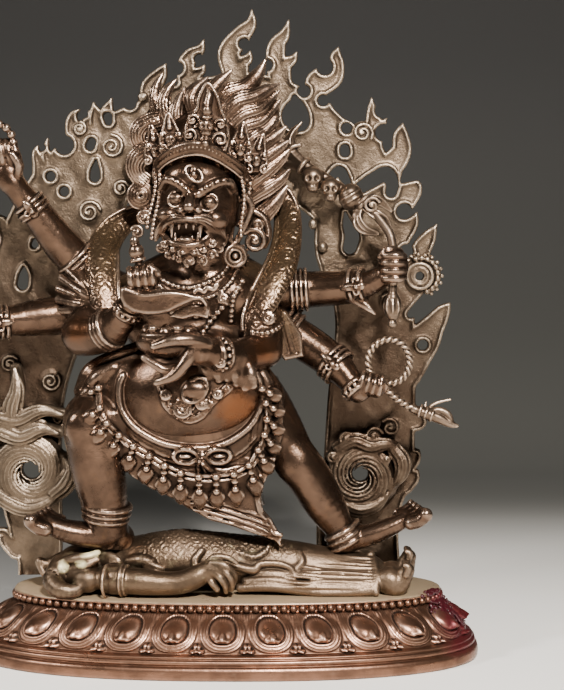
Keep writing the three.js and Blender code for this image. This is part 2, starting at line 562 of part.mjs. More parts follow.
// What the left hands hold: the curved knife, the string of skulls and the hourglass drum.
function heldThings() {
  const blade = new THREE.Shape([
    [-37, 100.5], [-35.5, 95], [-31, 91], [-24, 88.6], [-16, 89.6], [-10, 93.6], [-7.4, 96.4], [-12.4, 95.8],
    [-18, 97.6], [-25, 98.4], [-32, 98.6],
  ].map(([x, z]) => flatPlace(x, z)));
  const rosary = Array.from({ length: 6 }, (_, i) => {
    const turn = (i / 6) * 2 * Math.PI;
    return mass([-77 + 5.2 * Math.cos(turn), -10, 153 + 5.2 * Math.sin(turn)], [3.2, 3, 3.2], { around: 6, rows: 3 });
  });
  return join(
    slab(blade, -37.4 * figureScale, -34 * figureScale),
    limb([[-25, -34.6, 97], [-26.4, -32.5, 104], [-28.5, -31, 112], [-30.5, -31, 117]], [1.7, 1.6, 1.9, 0.8], { sides: 5 }),
    rosary,
    limb([-92, -89, -85, -81.5, -78].map((x) => [x, -11, 84]), [5.4, 4.2, 2.6, 4.2, 5.4]),
  );
}

// The way that the trident's rod runs.
const staffPath = [[26.5, 6, 146], [36, 4, 140], [46, 0, 133], [53, -3.4, 126], [56.6, -5.8, 118], [56.6, -6, 98]];
const staff = (grow = 0) => limb(staffPath, staffPath.map(() => staffDiameter / 2 / figureScale),
  { sides: 5, grow });

// The rope: an oval loop, and a length that crosses its foot and runs on to the right.
function rope(grow = 0) {
  const thickness = ropeDiameter / 2 + grow;
  const drawn = 10;
  const loop = new THREE.TorusGeometry(drawn, thickness, 4, 12);
  const position = loop.getAttribute('position');
  const middle = place([55.5, -6.6, 78.7]);
  for (let i = 0; i < position.count; i++) {
    const out = Math.hypot(position.getX(i), position.getY(i));
    const push = out - drawn;
    const x = position.getX(i) / out;
    const z = position.getY(i) / out;
    position.setXYZ(i, x * (7.1 * figureScale + push), position.getZ(i), z * (7.5 * figureScale + push));
  }
  loop.scale(1, -1, 1);
  loop.translate(middle.x, middle.y, middle.z);
  const tail = [[43.5, -8.4, 73], [48, -8, 73], [53, -7.6, 71], [58.5, -8, 65.8], [65, -8.6, 62.2], [73, -9, 59.6]];
  return join(solid(loop), limb(tail, tail.map(() => ropeDiameter / 2 / figureScale), { sides: 4, grow }));
}

// The trident: a rod through the raised right hand, bent to pass behind it, with a ribbon knot, a vase,
// two skulls and three flame-shaped prongs.
function tridentStaff() {
  const root = [27.6, 5.6, 144.4];
  const prongs = [
    [root, [22, 8.6, 149.6], [21, 9.4, 154.6], [24.4, 9.4, 158.4]],
    [root, [22.4, 8.6, 150], [18.4, 9.6, 153.4], [17, 10, 159]],
    [root, [21, 8.6, 146.4], [16.6, 9.8, 147.2], [13.8, 10.4, 150.6]],
  ].map((path) => limb(path, path.map((at, i) => [2.2, 2.8, 2.2, 0.5][i]), { sides: 4 }));
  return join(
    staff(), prongs,
    mass([29.5, 5, 141.5], [4.4, 3.8, 4.6], small),
    mass([35, 4.4, 139.5], [4.2, 3.8, 4.4], small),
    mass([42.5, 2.4, 135.5], [4.2, 3.8, 4.6], small),
    limb([[45, 0.5, 137], [51, 0, 136], [58, 1.5, 139.4]], [2.2, 2.6, 0.9], { sides: 4 }),
    limb([[45, 0.5, 134], [51, -1, 129], [57.6, 1.2, 131]], [2.2, 2.8, 0.9], { sides: 4 }),
    limb([101, 99, 95, 93, 91.5].map((z) => [56.6, -6, z]), [1.2, 2.6, 2.5, 1.3, 1.5], { sides: 5 }),
  );
}

function noose() {
  const tip = [76, -8, 63.5];
  return join(rope(), limb([[70.5, -9, 60.2], tip], [1.2, 0.6], { sides: 5 }),
    limb([[72, -9, 59.8], [76, -10, 57.8], [77.6, -9, 60.4]], [1.4, 1.2, 0.5], { sides: 5 }));
}

// The prone figure: an elephant's head with a rolled trunk, an arm that reaches forward, a humped back,
// a pleated robe and two upturned feet.
function proneFigure() {
  const robeEnd = 52;
  const pleats = Array.from({ length: 5 }, (_, i) => {
    const lift = i / 4;
    const depth = -21 + 17 * lift ** 1.6;
    return limb([[4 + 3 * lift, depth, 1.6 + 11 * lift], [robeEnd - 3 * lift, depth + 1, 1.4 + 9.2 * lift]],
      [2.3, 2.4], { sides: 4 });
  });
  const body = join(
    mass([-51, -10, 6.5], [9.5, 11, 10.5]),
    mass([-44, -15, 5], [6.5, 6.5, 6.5], small),
    limb([[-55, -16, 10], [-57, -20, 3], [-50, -21.5, 2], [-45, -20, 5]], [3.8, 3.4, 2.8, 1.8], { sides: 5 }),
    mass([-46, -3, 9], [5, 7.5, 8], small),
    limb([[-54, 0, 6], [-34, -4, 8.5], [-14, -5, 11], [8, -5, 10], [30, -5, 8], [51, -6, 5.6]],
      [[11, 7], [13, 8.5], [13, 9.6], [12.5, 8.4], [13, 6.8], [13, 5.8]], { sides: 8 }),
    limb([[-40, -10, 6], [-38, -18.5, 6], [-24, -22.5, 5.6], [-13, -22.5, 7], [-3, -19.6, 11]], [6, 5.2, 4.5, 3.9, 2.8]),
    limb([[-4, -19.6, 11.4], [1, -21.4, 11.4], [5, -21.6, 7]], [[3.4, 2], [3.8, 2], [2.4, 1.2]], { sides: 5 }),
    limb([[48, -5, 4], [57, -4, 4], [61, -4, 7], [63.5, -5, 13]], [4, 4.4, 3.6, 1.8], { sides: 5 }),
    limb([[48, -12, 3.4], [57, -12, 3], [61, -12.5, 5], [63, -13, 9.6]], [3.6, 4, 3.4, 1.8], { sides: 5 }),
    pleats,
  );
  return clearOfPlinth(body.subtract(foot('left', clearance)).subtract(foot('right', clearance)));
}

// The standing figure is cut flat behind, where it meets the aureole, and bored for what it grips.
function mahakalaFigure() {
  const whole = join(torso(), jewels(), head(), hair(), crown(), scarf(), skirt(), legs(), arms(), heldThings());
  const behind = new THREE.BoxGeometry(600, 200, 900);
  behind.translate(0, figureBack + 100, 0);
  return whole.subtract(solid(behind)).subtract(staff(clearance)).subtract(rope(clearance));
}

function part(name, body, material) {
  const mesh = new THREE.Mesh(geometryOf(body), material);
  mesh.name = name;
  return mesh;
}

const group = new THREE.Group();
group.add(
  part('lotus_plinth', lotusPlinth(), plinthBronze),
  part('prone_figure', proneFigure(), proneBronze),
  part('mahakala_figure', mahakalaFigure(), figureBronze),
  part('flame_aureole', flameAureole(), flameBronze),
  part('trident_staff', tridentStaff(), implementBronze),
  part('noose', noose(), implementBronze),
);

export default group;
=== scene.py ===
"""A bronze guardian figure with six arms, on a prone elephant-headed figure and an oval lotus plinth, before
a flame aureole. Each casting is modelled like clay: simple forms are blended together and carved in a grid
that holds the distance to the surface, and the grid's surface becomes the mesh.

Places are drawn in millimetres, with heights taken from the plinth's top, as in the part's own source.
"""
import math

import bpy
import numpy as np
import openvdb
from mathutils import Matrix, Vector


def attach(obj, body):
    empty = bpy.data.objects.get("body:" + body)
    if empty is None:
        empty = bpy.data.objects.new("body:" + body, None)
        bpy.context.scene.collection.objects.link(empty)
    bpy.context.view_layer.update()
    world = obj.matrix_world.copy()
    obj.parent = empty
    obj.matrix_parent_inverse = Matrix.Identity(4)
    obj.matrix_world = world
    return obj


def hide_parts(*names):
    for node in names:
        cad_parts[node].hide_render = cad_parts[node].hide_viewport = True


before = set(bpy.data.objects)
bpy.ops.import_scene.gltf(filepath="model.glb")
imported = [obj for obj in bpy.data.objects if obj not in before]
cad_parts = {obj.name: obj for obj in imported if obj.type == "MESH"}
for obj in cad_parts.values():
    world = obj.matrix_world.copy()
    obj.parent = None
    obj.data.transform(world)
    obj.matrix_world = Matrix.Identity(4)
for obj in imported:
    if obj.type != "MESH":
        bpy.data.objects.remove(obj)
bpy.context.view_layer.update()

# The height of the plinth's top above the ground.
PLINTH_TOP = 23.0
# The distance that clay holds where nothing is modelled yet.
FAR = 12.0


# Forms: each is (lowest corner, highest corner, distance function)

def unit(v):
    return np.array(v, float) / np.linalg.norm(v)


def smooth_path(points, steps=4):
    """A curve through the points. Further columns, such as the radius, are carried along."""
    p = np.array(points, float)
    if steps < 2 or len(p) < 3:
        return p
    p = np.vstack([2 * p[0] - p[1], p, 2 * p[-1] - p[-2]])
    t = np.linspace(0, 1, steps, endpoint=False)[:, None]
    spans = [0.5 * (2 * b + (c - a) * t + (2 * a - 5 * b + 4 * c - d) * t ** 2
                    + (3 * b - a - 3 * c + d) * t ** 3)
             for a, b, c, d in zip(p[:-3], p[1:-2], p[2:-1], p[3:])]
    return np.vstack([*spans, p[-2]])


def ball(centre, radii, turn=None):
    """An egg-shaped form. The rows of `turn` are its three axes."""
    c = np.array(centre, float)
    r = np.broadcast_to(np.array(radii, float), 3)
    axes = np.eye(3) if turn is None else np.array(turn, float)
    reach = np.sqrt(((axes * r[:, None]) ** 2).sum(0))

    def distance(x, y, z):
        x, y, z = x - c[0], y - c[1], z - c[2]
        q = [(a[0] * x + a[1] * y + a[2] * z) / s for a, s in zip(axes, r)]
        near = np.sqrt(q[0] ** 2 + q[1] ** 2 + q[2] ** 2)
        slope = np.sqrt((q[0] / r[0]) ** 2 + (q[1] / r[1]) ** 2 + (q[2] / r[2]) ** 2)
        return near * (near - 1) / np.maximum(slope, 1e-6)
    return c - reach, c + reach, distance


def link(a, b, flat=None, thin=1.0):
    """A straight piece of bar from (x, y, z, radius) to another, made thinner along `flat`."""
    start, along = a[:3], b[:3] - a[:3]
    length = max(float(along @ along), 1e-9)
    wide = max(a[3], b[3])

    def distance(x, y, z):
        x, y, z = x - start[0], y - start[1], z - start[2]
        t = np.clip((x * along[0] + y * along[1] + z * along[2]) / length, 0, 1)
        x, y, z = x - t * along[0], y - t * along[1], z - t * along[2]
        square = x * x + y * y + z * z
        if flat is not None:
            square += (x * flat[0] + y * flat[1] + z * flat[2]) ** 2 * (1 / thin ** 2 - 1)
        return np.sqrt(square) - (a[3] + t * (b[3] - a[3]))
    return np.minimum(start, b[:3]) - wide, np.maximum(start, b[:3]) + wide, distance


def bar(rows, flat=None, thin=1.0, steps=4):
    """A smooth bar through rows of (x, y, z, radius)."""
    if flat is not None:
        flat = np.array(flat, float) / np.linalg.norm(flat)
    rows = smooth_path(rows, steps)
    return [link(a, b, flat, thin) for a, b in zip(rows[:-1], rows[1:])]


def ring(centre, normal, radius, thickness, steps=20, stretch=1.0):
    """A closed round bar about `normal`."""
    n = Vector(normal).normalized()
    u = n.orthogonal().normalized()
    v = n.cross(u)
    turn = np.linspace(0, 2 * math.pi, steps + 1)[:, None]
    rows = np.array(centre) + radius * (np.cos(turn) * np.array(u) + np.sin(turn) * np.array(v) * stretch)
    return bar(np.hstack([rows, np.full((steps + 1, 1), thickness)]), steps=1)


def outline_distance(outline, x, z):
    """Signed distance in the X-Z plane to a closed outline, negative inside."""
    p = np.array(outline, float)
    best = np.full(np.broadcast(x, z).shape, 1e9, np.float32)
    inside = np.zeros(best.shape, bool)
    for a, b in zip(p, np.roll(p, -1, 0)):
        e = b - a
        t = np.clip(((x - a[0]) * e[0] + (z - a[1]) * e[1]) / max(e @ e, 1e-9), 0, 1)
        best = np.minimum(best, (x - a[0] - t * e[0]) ** 2 + (z - a[1] - t * e[1]) ** 2)
        if a[1] != b[1]:
            inside ^= ((z >= a[1]) != (z >= b[1])) & (x < a[0] + (z - a[1]) * e[0] / e[1])
    return np.where(inside, -1, 1) * np.sqrt(best)


def slab(outline, front, back, edge=0.6):
    """An upright plate with a softened edge, cut from an outline of (x, z)."""
    p = np.array(outline, float)

    def distance(x, y, z):
        d = outline_distance(outline, x, z) + edge
        depth = np.abs(y - (front + back) / 2) - (back - front) / 2 + edge
        return (np.minimum(np.maximum(d, depth), 0)
                + np.sqrt(np.maximum(d, 0) ** 2 + np.maximum(depth, 0) ** 2) - edge)
    return (np.array([p[:, 0].min(), front, p[:, 1].min()]), np.array([p[:, 0].max(), back, p[:, 1].max()]),
            distance)


class Clay:
    """A block of space that holds the distance to the surface of what is modelled in it."""

    def __init__(self, low, high, cell):
        self.low, self.cell = np.array(low, float), cell
        self.shape = tuple(int(n) for n in np.ceil((np.array(high) - self.low) / cell) + 1)
        self.field = np.full(self.shape, FAR, np.float32)

    def blank(self):
        """An empty block of the same size, to model something in apart before it is joined on."""
        other = Clay.__new__(Clay)
        other.low, other.cell, other.shape = self.low, self.cell, self.shape
        other.field = np.full(self.shape, FAR, np.float32)
        return other

    def join(self, other, blend=0.4):
        self.field = soft_least(self.field, other.field, blend)

    def window(self, low, high, margin):
        """The part of the grid between two corners: its slices and its coordinates."""
        first = np.floor((np.array(low) - margin - self.low) / self.cell).astype(int).clip(0)
        last = np.minimum(np.ceil((np.array(high) + margin - self.low) / self.cell).astype(int) + 1, self.shape)
        if (last <= first).any():
            return None, None
        axes = [(self.low[i] + self.cell * np.arange(first[i], last[i])).astype(np.float32) for i in range(3)]
        return tuple(slice(a, b) for a, b in zip(first, last)), np.ix_(*axes)

    def measured(self, forms, margin):
        """The distance to several forms taken together, on the part of the grid around them."""
        forms = forms if isinstance(forms, list) else [forms]
        low = np.min([f[0] for f in forms], axis=0)
        high = np.max([f[1] for f in forms], axis=0)
        where, _ = self.window(low, high, margin)
        if where is None:
            return None, None
        near = np.full([s.stop - s.start for s in where], FAR, np.float32)
        for form_low, form_high, distance in forms:
            part, axes = self.window(form_low, form_high, margin)
            if part is not None:
                here = tuple(slice(p.start - w.start, p.stop - w.start) for p, w in zip(part, where))
                near[here] = np.minimum(near[here], distance(*axes))
        return where, near

    def add(self, *groups, blend=0.4):
        """Joins each group of forms to the clay, with a fillet of about `blend`."""
        for forms in groups:
            where, near = self.measured(forms, blend + 1.4)
            if where is not None:
                self.field[where] = soft_least(self.field[where], near, blend)

    def cut(self, *groups, blend=0.3):
        """Carves each group of forms out of the clay."""
        for forms in groups:
            where, near = self.measured(forms, blend + 1.4)
            if where is not None:
                self.field[where] = -soft_least(-self.field[where], near, blend)

    def front(self, points, lift=0.0):
        """Lays rows of (x, z, radius) on the clay's front, as rows of (x, y, z, radius)."""
        rows = []
        for x, z, radius in points:
            i, k = (int(round((v - self.low[n]) / self.cell)) for v, n in ((x, 0), (z, 2)))
            column = self.field[i, :, k]
            j = max(int(np.argmax(column < 0)), 1)
            share = column[j - 1] / (column[j - 1] - column[j]) if column[j] < 0 else 0
            rows.append((x, self.low[1] + self.cell * (j - 1 + share) - lift, z, radius))
        return rows

    def axes(self):
        """The coordinates of all the grid's cells, as three arrays that broadcast."""
        return np.ix_(*[(self.low[i] + self.cell * np.arange(self.shape[i])).astype(np.float32)
                        for i in range(3)])

    def press(self, low, high, depth):
        """Lowers the surface between two corners by depth(x, y, z); a negative depth raises it."""
        where, axes = self.window(low, high, 0)
        self.field[where] += depth(*axes)


def soft_least(a, b, blend):
    if blend <= 0:
        return np.minimum(a, b)
    near = np.maximum(blend - np.abs(a - b), 0) / blend
    return np.minimum(a, b) - near * near * blend / 4


def box_mean(block, reach):
    """The mean of a block over a cube of 2 * reach + 1 cells, along each axis in turn."""
    for axis in range(3):
        width = [(0, 0)] * 3
        width[axis] = (reach + 1, reach)
        total = np.cumsum(np.pad(block, width, mode="edge"), axis=axis, dtype=np.float32)
        count = total.shape[axis]
        upper = np.take(total, range(2 * reach + 1, count), axis=axis)
        lower = np.take(total, range(0, count - 2 * reach - 1), axis=axis)
        block = (upper - lower) / (2 * reach + 1)
    return block


def sampled(block, points):
    """The block's values at points given in cells, blended between the nearest cells."""
    base = np.floor(points).astype(int).clip(0, np.array(block.shape) - 2)
    share = (points - base).clip(0, 1)
    value = 0
    for corner in np.ndindex(2, 2, 2):
        weight = np.prod(np.where(corner, share, 1 - share), axis=1)
        value = value + weight * block[tuple((base + corner).T)]
    return value


def colour_attribute(mesh, name, red, green):
    values = np.stack([red, green, np.zeros_like(red), np.ones_like(red)], 1).astype(np.float32)
    mesh.attributes.new(name, "FLOAT_COLOR", "POINT").data.foreach_set("color", values.ravel())


def place_piece(piece, material, replaced=()):
    """Gives a piece its material and slot, and has it stand for the solids that it replaces."""
    piece.data.shade_smooth()
    piece.data.materials.append(material)
    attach(piece, "root")
    if replaced:
        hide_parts(*replaced)


def thinned(name, mesh, most):
    """An object with the mesh, thinned to at most `most` triangles."""
    piece = bpy.data.objects.new(name, mesh)
    bpy.context.scene.collection.objects.link(piece)
    thinner = piece.modifiers.new("thinner", "DECIMATE")
    thinner.ratio = min(1.0, most / sum(len(face.vertices) - 2 for face in mesh.polygons))
    ready = piece.evaluated_get(bpy.context.evaluated_depsgraph_get())
    piece.data = bpy.data.meshes.new_from_object(ready)
    piece.modifiers.clear()
    bpy.data.meshes.remove(mesh)
    piece.data.name = name
    return piece


def cast(name, clay, material, replaced=(), most=100000, tints=()):
    """Makes a mesh of the clay's surface, thinned to at most `most` triangles. Its colour attribute
    "relief" tells how hollow (above 0.5) or proud (below 0.5) each place is, in red over a small reach and
    in green over a larger one. "tint" holds up to two functions of place, from 0 to 1, for the material."""
    cell = clay.cell
    grid = openvdb.FloatGrid(3 * cell)
    grid.copyFromArray(np.clip(clay.field, -3 * cell, 3 * cell))
    points, triangles, quads = grid.convertToPolygons(isovalue=0.0, adaptivity=0.001)
    mesh = bpy.data.meshes.new(name)
    mesh.from_pydata(points.tolist(), [], triangles[:, ::-1].tolist() + quads[:, ::-1].tolist())
    piece = thinned(name, mesh, most)
    mesh = piece.data
    places = np.empty(3 * len(mesh.vertices))
    mesh.vertices.foreach_get("co", places)
    places = places.reshape(-1, 3)
    solid = np.clip(0.5 - clay.field / cell, 0, 1)
    fine = sampled(box_mean(solid, max(1, round(0.7 / cell))), places)
    broad = sampled(box_mean(solid, round(2.4 / cell)), places)
    colour_attribute(mesh, "relief", fine, broad)
    places = places * cell + clay.low
    shares = [np.clip(tint(*places.T), 0, 1) for tint in tints] + [np.zeros(len(places))] * (2 - len(tints))
    colour_attribute(mesh, "tint", *shares)
    mesh.vertices.foreach_set("co", ((places + (0, 0, PLINTH_TOP)) / 1000).ravel())
    place_piece(piece, material, replaced)


def patch(*balls):
    """A soft-edged region, 1 inside any of the egg shapes given as (centre, radii) and 0 outside."""
    def amount(x, y, z):
        inside = 0
        for centre, radii in balls:
            q = sum(((v - c) / r) ** 2 for v, c, r in zip((x, y, z), centre, np.broadcast_to(radii, 3)))
            inside = np.maximum(inside, np.clip((1.6 - np.sqrt(q)) / 1.1, 0, 1))
        return inside
    return amount


# Materials

METAL = 0.92


class Paint:
    """A new material and its node tree, with short ways to make nodes and join them."""

    def __init__(self, name):
        self.material = bpy.data.materials.new(name)
        self.material.use_nodes = True
        tree = self.material.node_tree
        self.nodes, self.links = tree.nodes, tree.links
        self.shader = tree.nodes["Principled BSDF"]
        self.place = self.node("ShaderNodeTexCoord").outputs["Object"]

    def node(self, kind, **values):
        n = self.nodes.new(kind)
        for key, value in values.items():
            if hasattr(n, key):
                setattr(n, key, value)
            else:
                n.inputs[key].default_value = value
        return n

    def give(self, value, socket):
        """Joins another node's output to the socket, or sets the socket to a number."""
        if hasattr(value, "links"):
            self.links.new(value, socket)
        else:
            socket.default_value = value

    def combine(self, operation, first, second):
        n = self.node("ShaderNodeMath", operation=operation)
        self.give(first, n.inputs[0])
        self.give(second, n.inputs[1])
        return n.outputs[0]

    def ramp(self, value, low, high, start=0.0, end=1.0):
        n = self.node("ShaderNodeMapRange", clamp=True)
        self.links.new(value, n.inputs["Value"])
        for key, number in (("From Min", low), ("From Max", high), ("To Min", start), ("To Max", end)):
            n.inputs[key].default_value = number
        return n.outputs["Result"]

    def mix(self, factor, a, b):
        """A blend of two colours, each an output or three numbers."""
        n = self.node("ShaderNodeMix", data_type="RGBA")
        self.give(factor, n.inputs["Factor"])
        for letter, value in (("A", a), ("B", b)):
            socket = next(s for s in n.inputs if s.name == letter and s.type == "RGBA")
            self.give(value if hasattr(value, "links") else (*value, 1), socket)
        return next(s for s in n.outputs if s.type == "RGBA")

    def noise(self, scale, detail, rough=0.6):
        n = self.node("ShaderNodeTexNoise", Scale=scale, Detail=detail, Roughness=rough)
        self.links.new(self.place, n.inputs["Vector"])
        return n.outputs["Fac"]

    def attribute(self, name):
        """The red and green parts of one of the mesh's colour attributes."""
        apart = self.node("ShaderNodeSeparateColor")
        colour = self.node("ShaderNodeAttribute", attribute_name=name).outputs["Color"]
        self.links.new(colour, apart.inputs["Color"])
        return apart.outputs["Red"], apart.outputs["Green"]


def tinted(paint, tone, patina_and_shade, tints):
    """Lays each tint over the tone, ragged at its edge and darker in hollows (patina and painted shade), and
    sets how metallic it is.
    """
    metallic = METAL
    for share, (tint, metal) in zip(paint.attribute("tint"), tints):
        ragged = paint.node("ShaderNodeMath", operation="MULTIPLY_ADD")
        paint.links.new(paint.ramp(paint.noise(260, 5), 0.3, 0.7, -0.5, 0.5), ragged.inputs[0])
        ragged.inputs[1].default_value = 0.5
        paint.links.new(share, ragged.inputs[2])
        amount = paint.ramp(ragged.outputs[0], 0.1, 1.0)
        shade = paint.mix(paint.ramp(patina_and_shade, 0, 1, 0, 0.8), tint, tuple(c * 0.25 for c in tint))
        tone = paint.mix(amount, tone, shade)
        level = paint.node("ShaderNodeMix", data_type="FLOAT", B=metal)
        paint.links.new(amount, level.inputs["Factor"])
        paint.give(metallic, level.inputs["A"])
        metallic = level.outputs["Result"]
    paint.links.new(metallic, paint.shader.inputs["Metallic"])
    return tone


def bronze(name, colour, rubbed, hollow, roughness, grain=0.35, tints=()):
    """Patinated bronze: dark in the hollows, which is partly patina and partly painted shade, rubbed bright on
    proud edges, with cast grain and blotches. Each tint is a colour and how metallic it is; it shows where the
    piece's "tint" attribute says."""
    paint = Paint(name)
    shader, ramp = paint.shader, paint.ramp
    shader.inputs["Metallic"].default_value = METAL
    fine, broad = paint.attribute("relief")
    blotch, speck = paint.noise(90, 6), paint.noise(1400, 3, 0.7)

    tone = paint.mix(ramp(blotch, 0.40, 0.62), colour, tuple(c * 0.52 for c in colour))
    worn = paint.combine("MULTIPLY", ramp(fine, 0.47, 0.3), ramp(speck, 0.3, 0.55, 0.5, 1.0))
    tone = paint.mix(worn, tone, rubbed)
    # The hollows go near black: partly patina, partly painted shade where little light reaches.
    patina_and_shade = paint.combine("MAXIMUM", ramp(fine, 0.53, 0.72), ramp(broad, 0.56, 0.82))
    tone = paint.mix(patina_and_shade, tone, hollow)
    if tints:
        tone = tinted(paint, tone, patina_and_shade, tints)
    paint.links.new(tone, shader.inputs["Base Color"])

    rough = paint.combine("ADD", ramp(blotch, 0.3, 0.7, roughness - 0.08, roughness + 0.1),
                          ramp(patina_and_shade, 0, 1, 0, 0.3))
    paint.links.new(rough, shader.inputs["Roughness"])

    height = paint.combine("ADD", ramp(speck, 0, 1, 0, 0.00012), ramp(paint.noise(420, 4), 0, 1, 0, 0.00022))
    bump = paint.node("ShaderNodeBump", Strength=grain, Distance=1.0)
    paint.links.new(height, bump.inputs["Height"])
    paint.links.new(bump.outputs["Normal"], shader.inputs["Normal"])
    return paint.material


# Painted highlight colour: a warm orange laid where the light falls on the belly and elbows.
BELLY_HIGHLIGHT_ORANGE = (0.135, 0.052, 0.021)
BROCADE_BROWN = (0.13, 0.083, 0.046)
figure_bronze = bronze("figure_bronze", (0.105, 0.062, 0.040), (0.50, 0.36, 0.27), (0.006, 0.0035, 0.0025),
                       0.235, grain=0.6, tints=[(BELLY_HIGHLIGHT_ORANGE, 0.9), (BROCADE_BROWN, 0.85)])
# The flame ring's tint is painted shadow: a darker brown where the figure's shadow falls on the ring.
flame_bronze = bronze("flame_bronze", (0.155, 0.110, 0.074), (0.46, 0.36, 0.265), (0.013, 0.008, 0.0055),
                      0.38, grain=1.1, tints=[((0.052, 0.032, 0.020), 0.9)])
prone_bronze = bronze("prone_bronze", (0.122, 0.080, 0.050), (0.40, 0.285, 0.20), (0.012, 0.0075, 0.005),
                      0.38, grain=0.9, tints=[((0.62, 0.54, 0.30), 0.0), ((0.15, 0.10, 0.065), 0.85)])
# The second tint is the top plate's olive tone, also lightened as painted light on the top.
plinth_bronze = bronze("plinth_bronze", (0.22, 0.112, 0.070), (0.58, 0.355, 0.255), (0.018, 0.010, 0.007), 0.33,
                       tints=[((0.11, 0.016, 0.019), 0.6), ((0.30, 0.22, 0.135), 0.25)])
implement_bronze = bronze("implement_bronze", (0.14, 0.095, 0.065), (0.46, 0.34, 0.25),
                          (0.012, 0.0075, 0.005), 0.34)


def crust(name, colour):
    """A rough, granular deposit."""
    paint = Paint(name)
    speckle = paint.node("ShaderNodeTexNoise", Scale=700)
    dark, light = tuple(c * 0.35 for c in colour), tuple(c * 1.6 for c in colour)
    paint.links.new(paint.mix(speckle.outputs["Fac"], dark, light), paint.shader.inputs["Base Color"])
    paint.shader.inputs["Roughness"].default_value = 0.42
    return paint.material


residue = crust("red_residue", (0.038, 0.003, 0.006))


# The standing figure: legs and skirt

TOES = 5
HEM_FRONT, HEM_BACK = -30, 11
BELLY = ((-9.5, -10.4, 70), (24.6, 17.2, 20.6))
HIPS = ball((-15.5, -1, 60), (43.5, 22.3, 41.5))
HEM = [(-51, 69), (-49.5, 63), (-46, 56), (-39, 48), (-30.9, 41), (-24.9, 37.1), (-17.6, 33.6), (-12, 30.1),
       (-4.7, 25.8), (3.9, 23.2), (12.5, 20.4), (17, 18.4), (18.8, 16.2), (19, 19.6), (15.7, 25.9),
       (12.6, 29.5), (12, 33), (13, 38), (16.5, 45), (19.4, 54), (19.8, 64), (17.5, 72), (0, 80), (-30, 82),
       (-44, 77)]


def cast_figure(name, clay, most, tints=()):
    """Casts a part of the standing figure. All its parts together stand for the one solid."""
    cast(name, clay, figure_bronze, replaced=["mahakala_figure"], most=most, tints=tints)


def both(a, b):
    """The space that two forms share."""
    return (np.maximum(a[0], b[0]), np.minimum(a[1], b[1]),
            lambda x, y, z: np.maximum(a[2](x, y, z), b[2](x, y, z)))


def toes(clay, root, tip, spread, size):
    """A row of curled toes between two lines; the first is the big toe."""
    for i in range(TOES):
        share = i / (TOES - 1) - 0.5
        r = size * (1.35 if i == 0 else 1.0 - 0.06 * i)
        side = np.array(spread) * share
        a, b = np.array(root) + side, np.array(tip) + side
        middle = (a + b) / 2 - (0, 0, 0.3 * size)
        clay.add(bar([(*a, r), (*middle, r * 1.05), (*b, r)]), blend=0.5)
        clay.add(ball(b + (0, -0.3 * size, 0.35 * size), r * 0.95), blend=0.5)


def bare_legs(clay):
    """The bent left leg and the stretched right leg, with their feet and ankle rings."""
    clay.add(bar([(-18, 0, 60, 12), (-32, -7, 61, 12), (-43.5, -14, 57.5, 10.6)]),
             bar([(-44.6, -15, 60, 9.2), (-44, -16.6, 54, 9.4), (-43.1, -16.6, 46, 9.2),
                  (-41.6, -15.6, 37, 8.5), (-39.8, -14.2, 29, 6.9), (-39.4, -12.6, 22, 6.3)]), blend=3)
    clay.add(ball((-47.5, -24, 58.5), (4.6, 2.8, 5.2)), blend=3.5)
    clay.add(bar([(2, -2, 72, 12), (10, -3, 64, 11.2), (17, -4, 55, 9.3), (22.5, -5, 47, 7.7),
                  (28.6, -6, 38.5, 7.6), (33.8, -6.4, 29.6, 6.9), (38, -6, 22.8, 5.3), (41, -6, 18, 4.8)]),
             blend=2)
    clay.add(ball((24, -8.6, 44), (6.6, 4.6, 6.4)), blend=3.5)

    clay.add(bar([(-37, -8, 18.6, 5.6), (-43, -12, 19.6, 5.4), (-49.5, -14.6, 20.8, 4.9),
                  (-55.5, -16, 22.6, 4.1), (-59.5, -16.6, 24.4, 3.4)], flat=(0.2, 0, 1), thin=0.88), blend=2)
    toes(clay, (-57.6, -16.8, 24.4), (-62.4, -17.4, 27.2), (4.6, 7.4, 2.4), 1.75)
    clay.add(bar([(39.5, -5.6, 17, 4.8), (45, -6.6, 18.2, 4.6), (51, -7.6, 20, 4.1), (57, -8, 22.6, 3.6),
                  (61.5, -8, 25, 3.1)], flat=(-0.3, 0, 1), thin=0.88), blend=2)
    toes(clay, (60.6, -8.4, 25.4), (65.6, -9, 28.2), (-4.6, 7, 2.6), 1.7)

    for at, turn, radii in (((-40, -14.2, 30.4), (0.12, -0.12, 1), (7.9, 7.6, 7.2)),
                            ((39.7, -6, 20.6), (-0.5, 0, 0.86), (5.9, 6.1, 6.0))):
        for i, radius in enumerate(radii):
            centre = np.array(at) - 2.1 * i * unit(turn)
            clay.add(ring(centre, turn, radius, 1.05), blend=0.35)


def pendant(clay, hook, tip):
    """A short chain with a bead, and a pointed leaf below it."""
    def spot(share, out=0.0, aside=0.0):
        return hook + share * (tip - hook) + (aside, -out, 0)
    clay.add(bar([(*spot(0), 0.95), (*spot(0.46), 0.8)]), blend=0.2)
    clay.add(ball(spot(0.02, 0.6), 1.3), ball(spot(0.24, 0.4), (1.25, 1.0, 0.8)), blend=0.2)
    clay.add(bar([(*spot(0.46), 1.2), (*spot(0.6), 2.5), (*spot(0.78), 2.1), (*spot(1), 0.3)],
                 flat=(0, 1, 0), thin=0.66), blend=0.3)
    clay.add(ball(spot(0.45, 1.1), 1.3), blend=0.2)
    for side in (-1, 1):
        clay.add(bar([(*spot(0.5, 0.5, side * 1.3), 0.7), (*spot(0.64, 0.4, side * 2.3), 0.65),
                      (*spot(0.8, 0.6, side * 1.3), 0.4)]), blend=0.25)


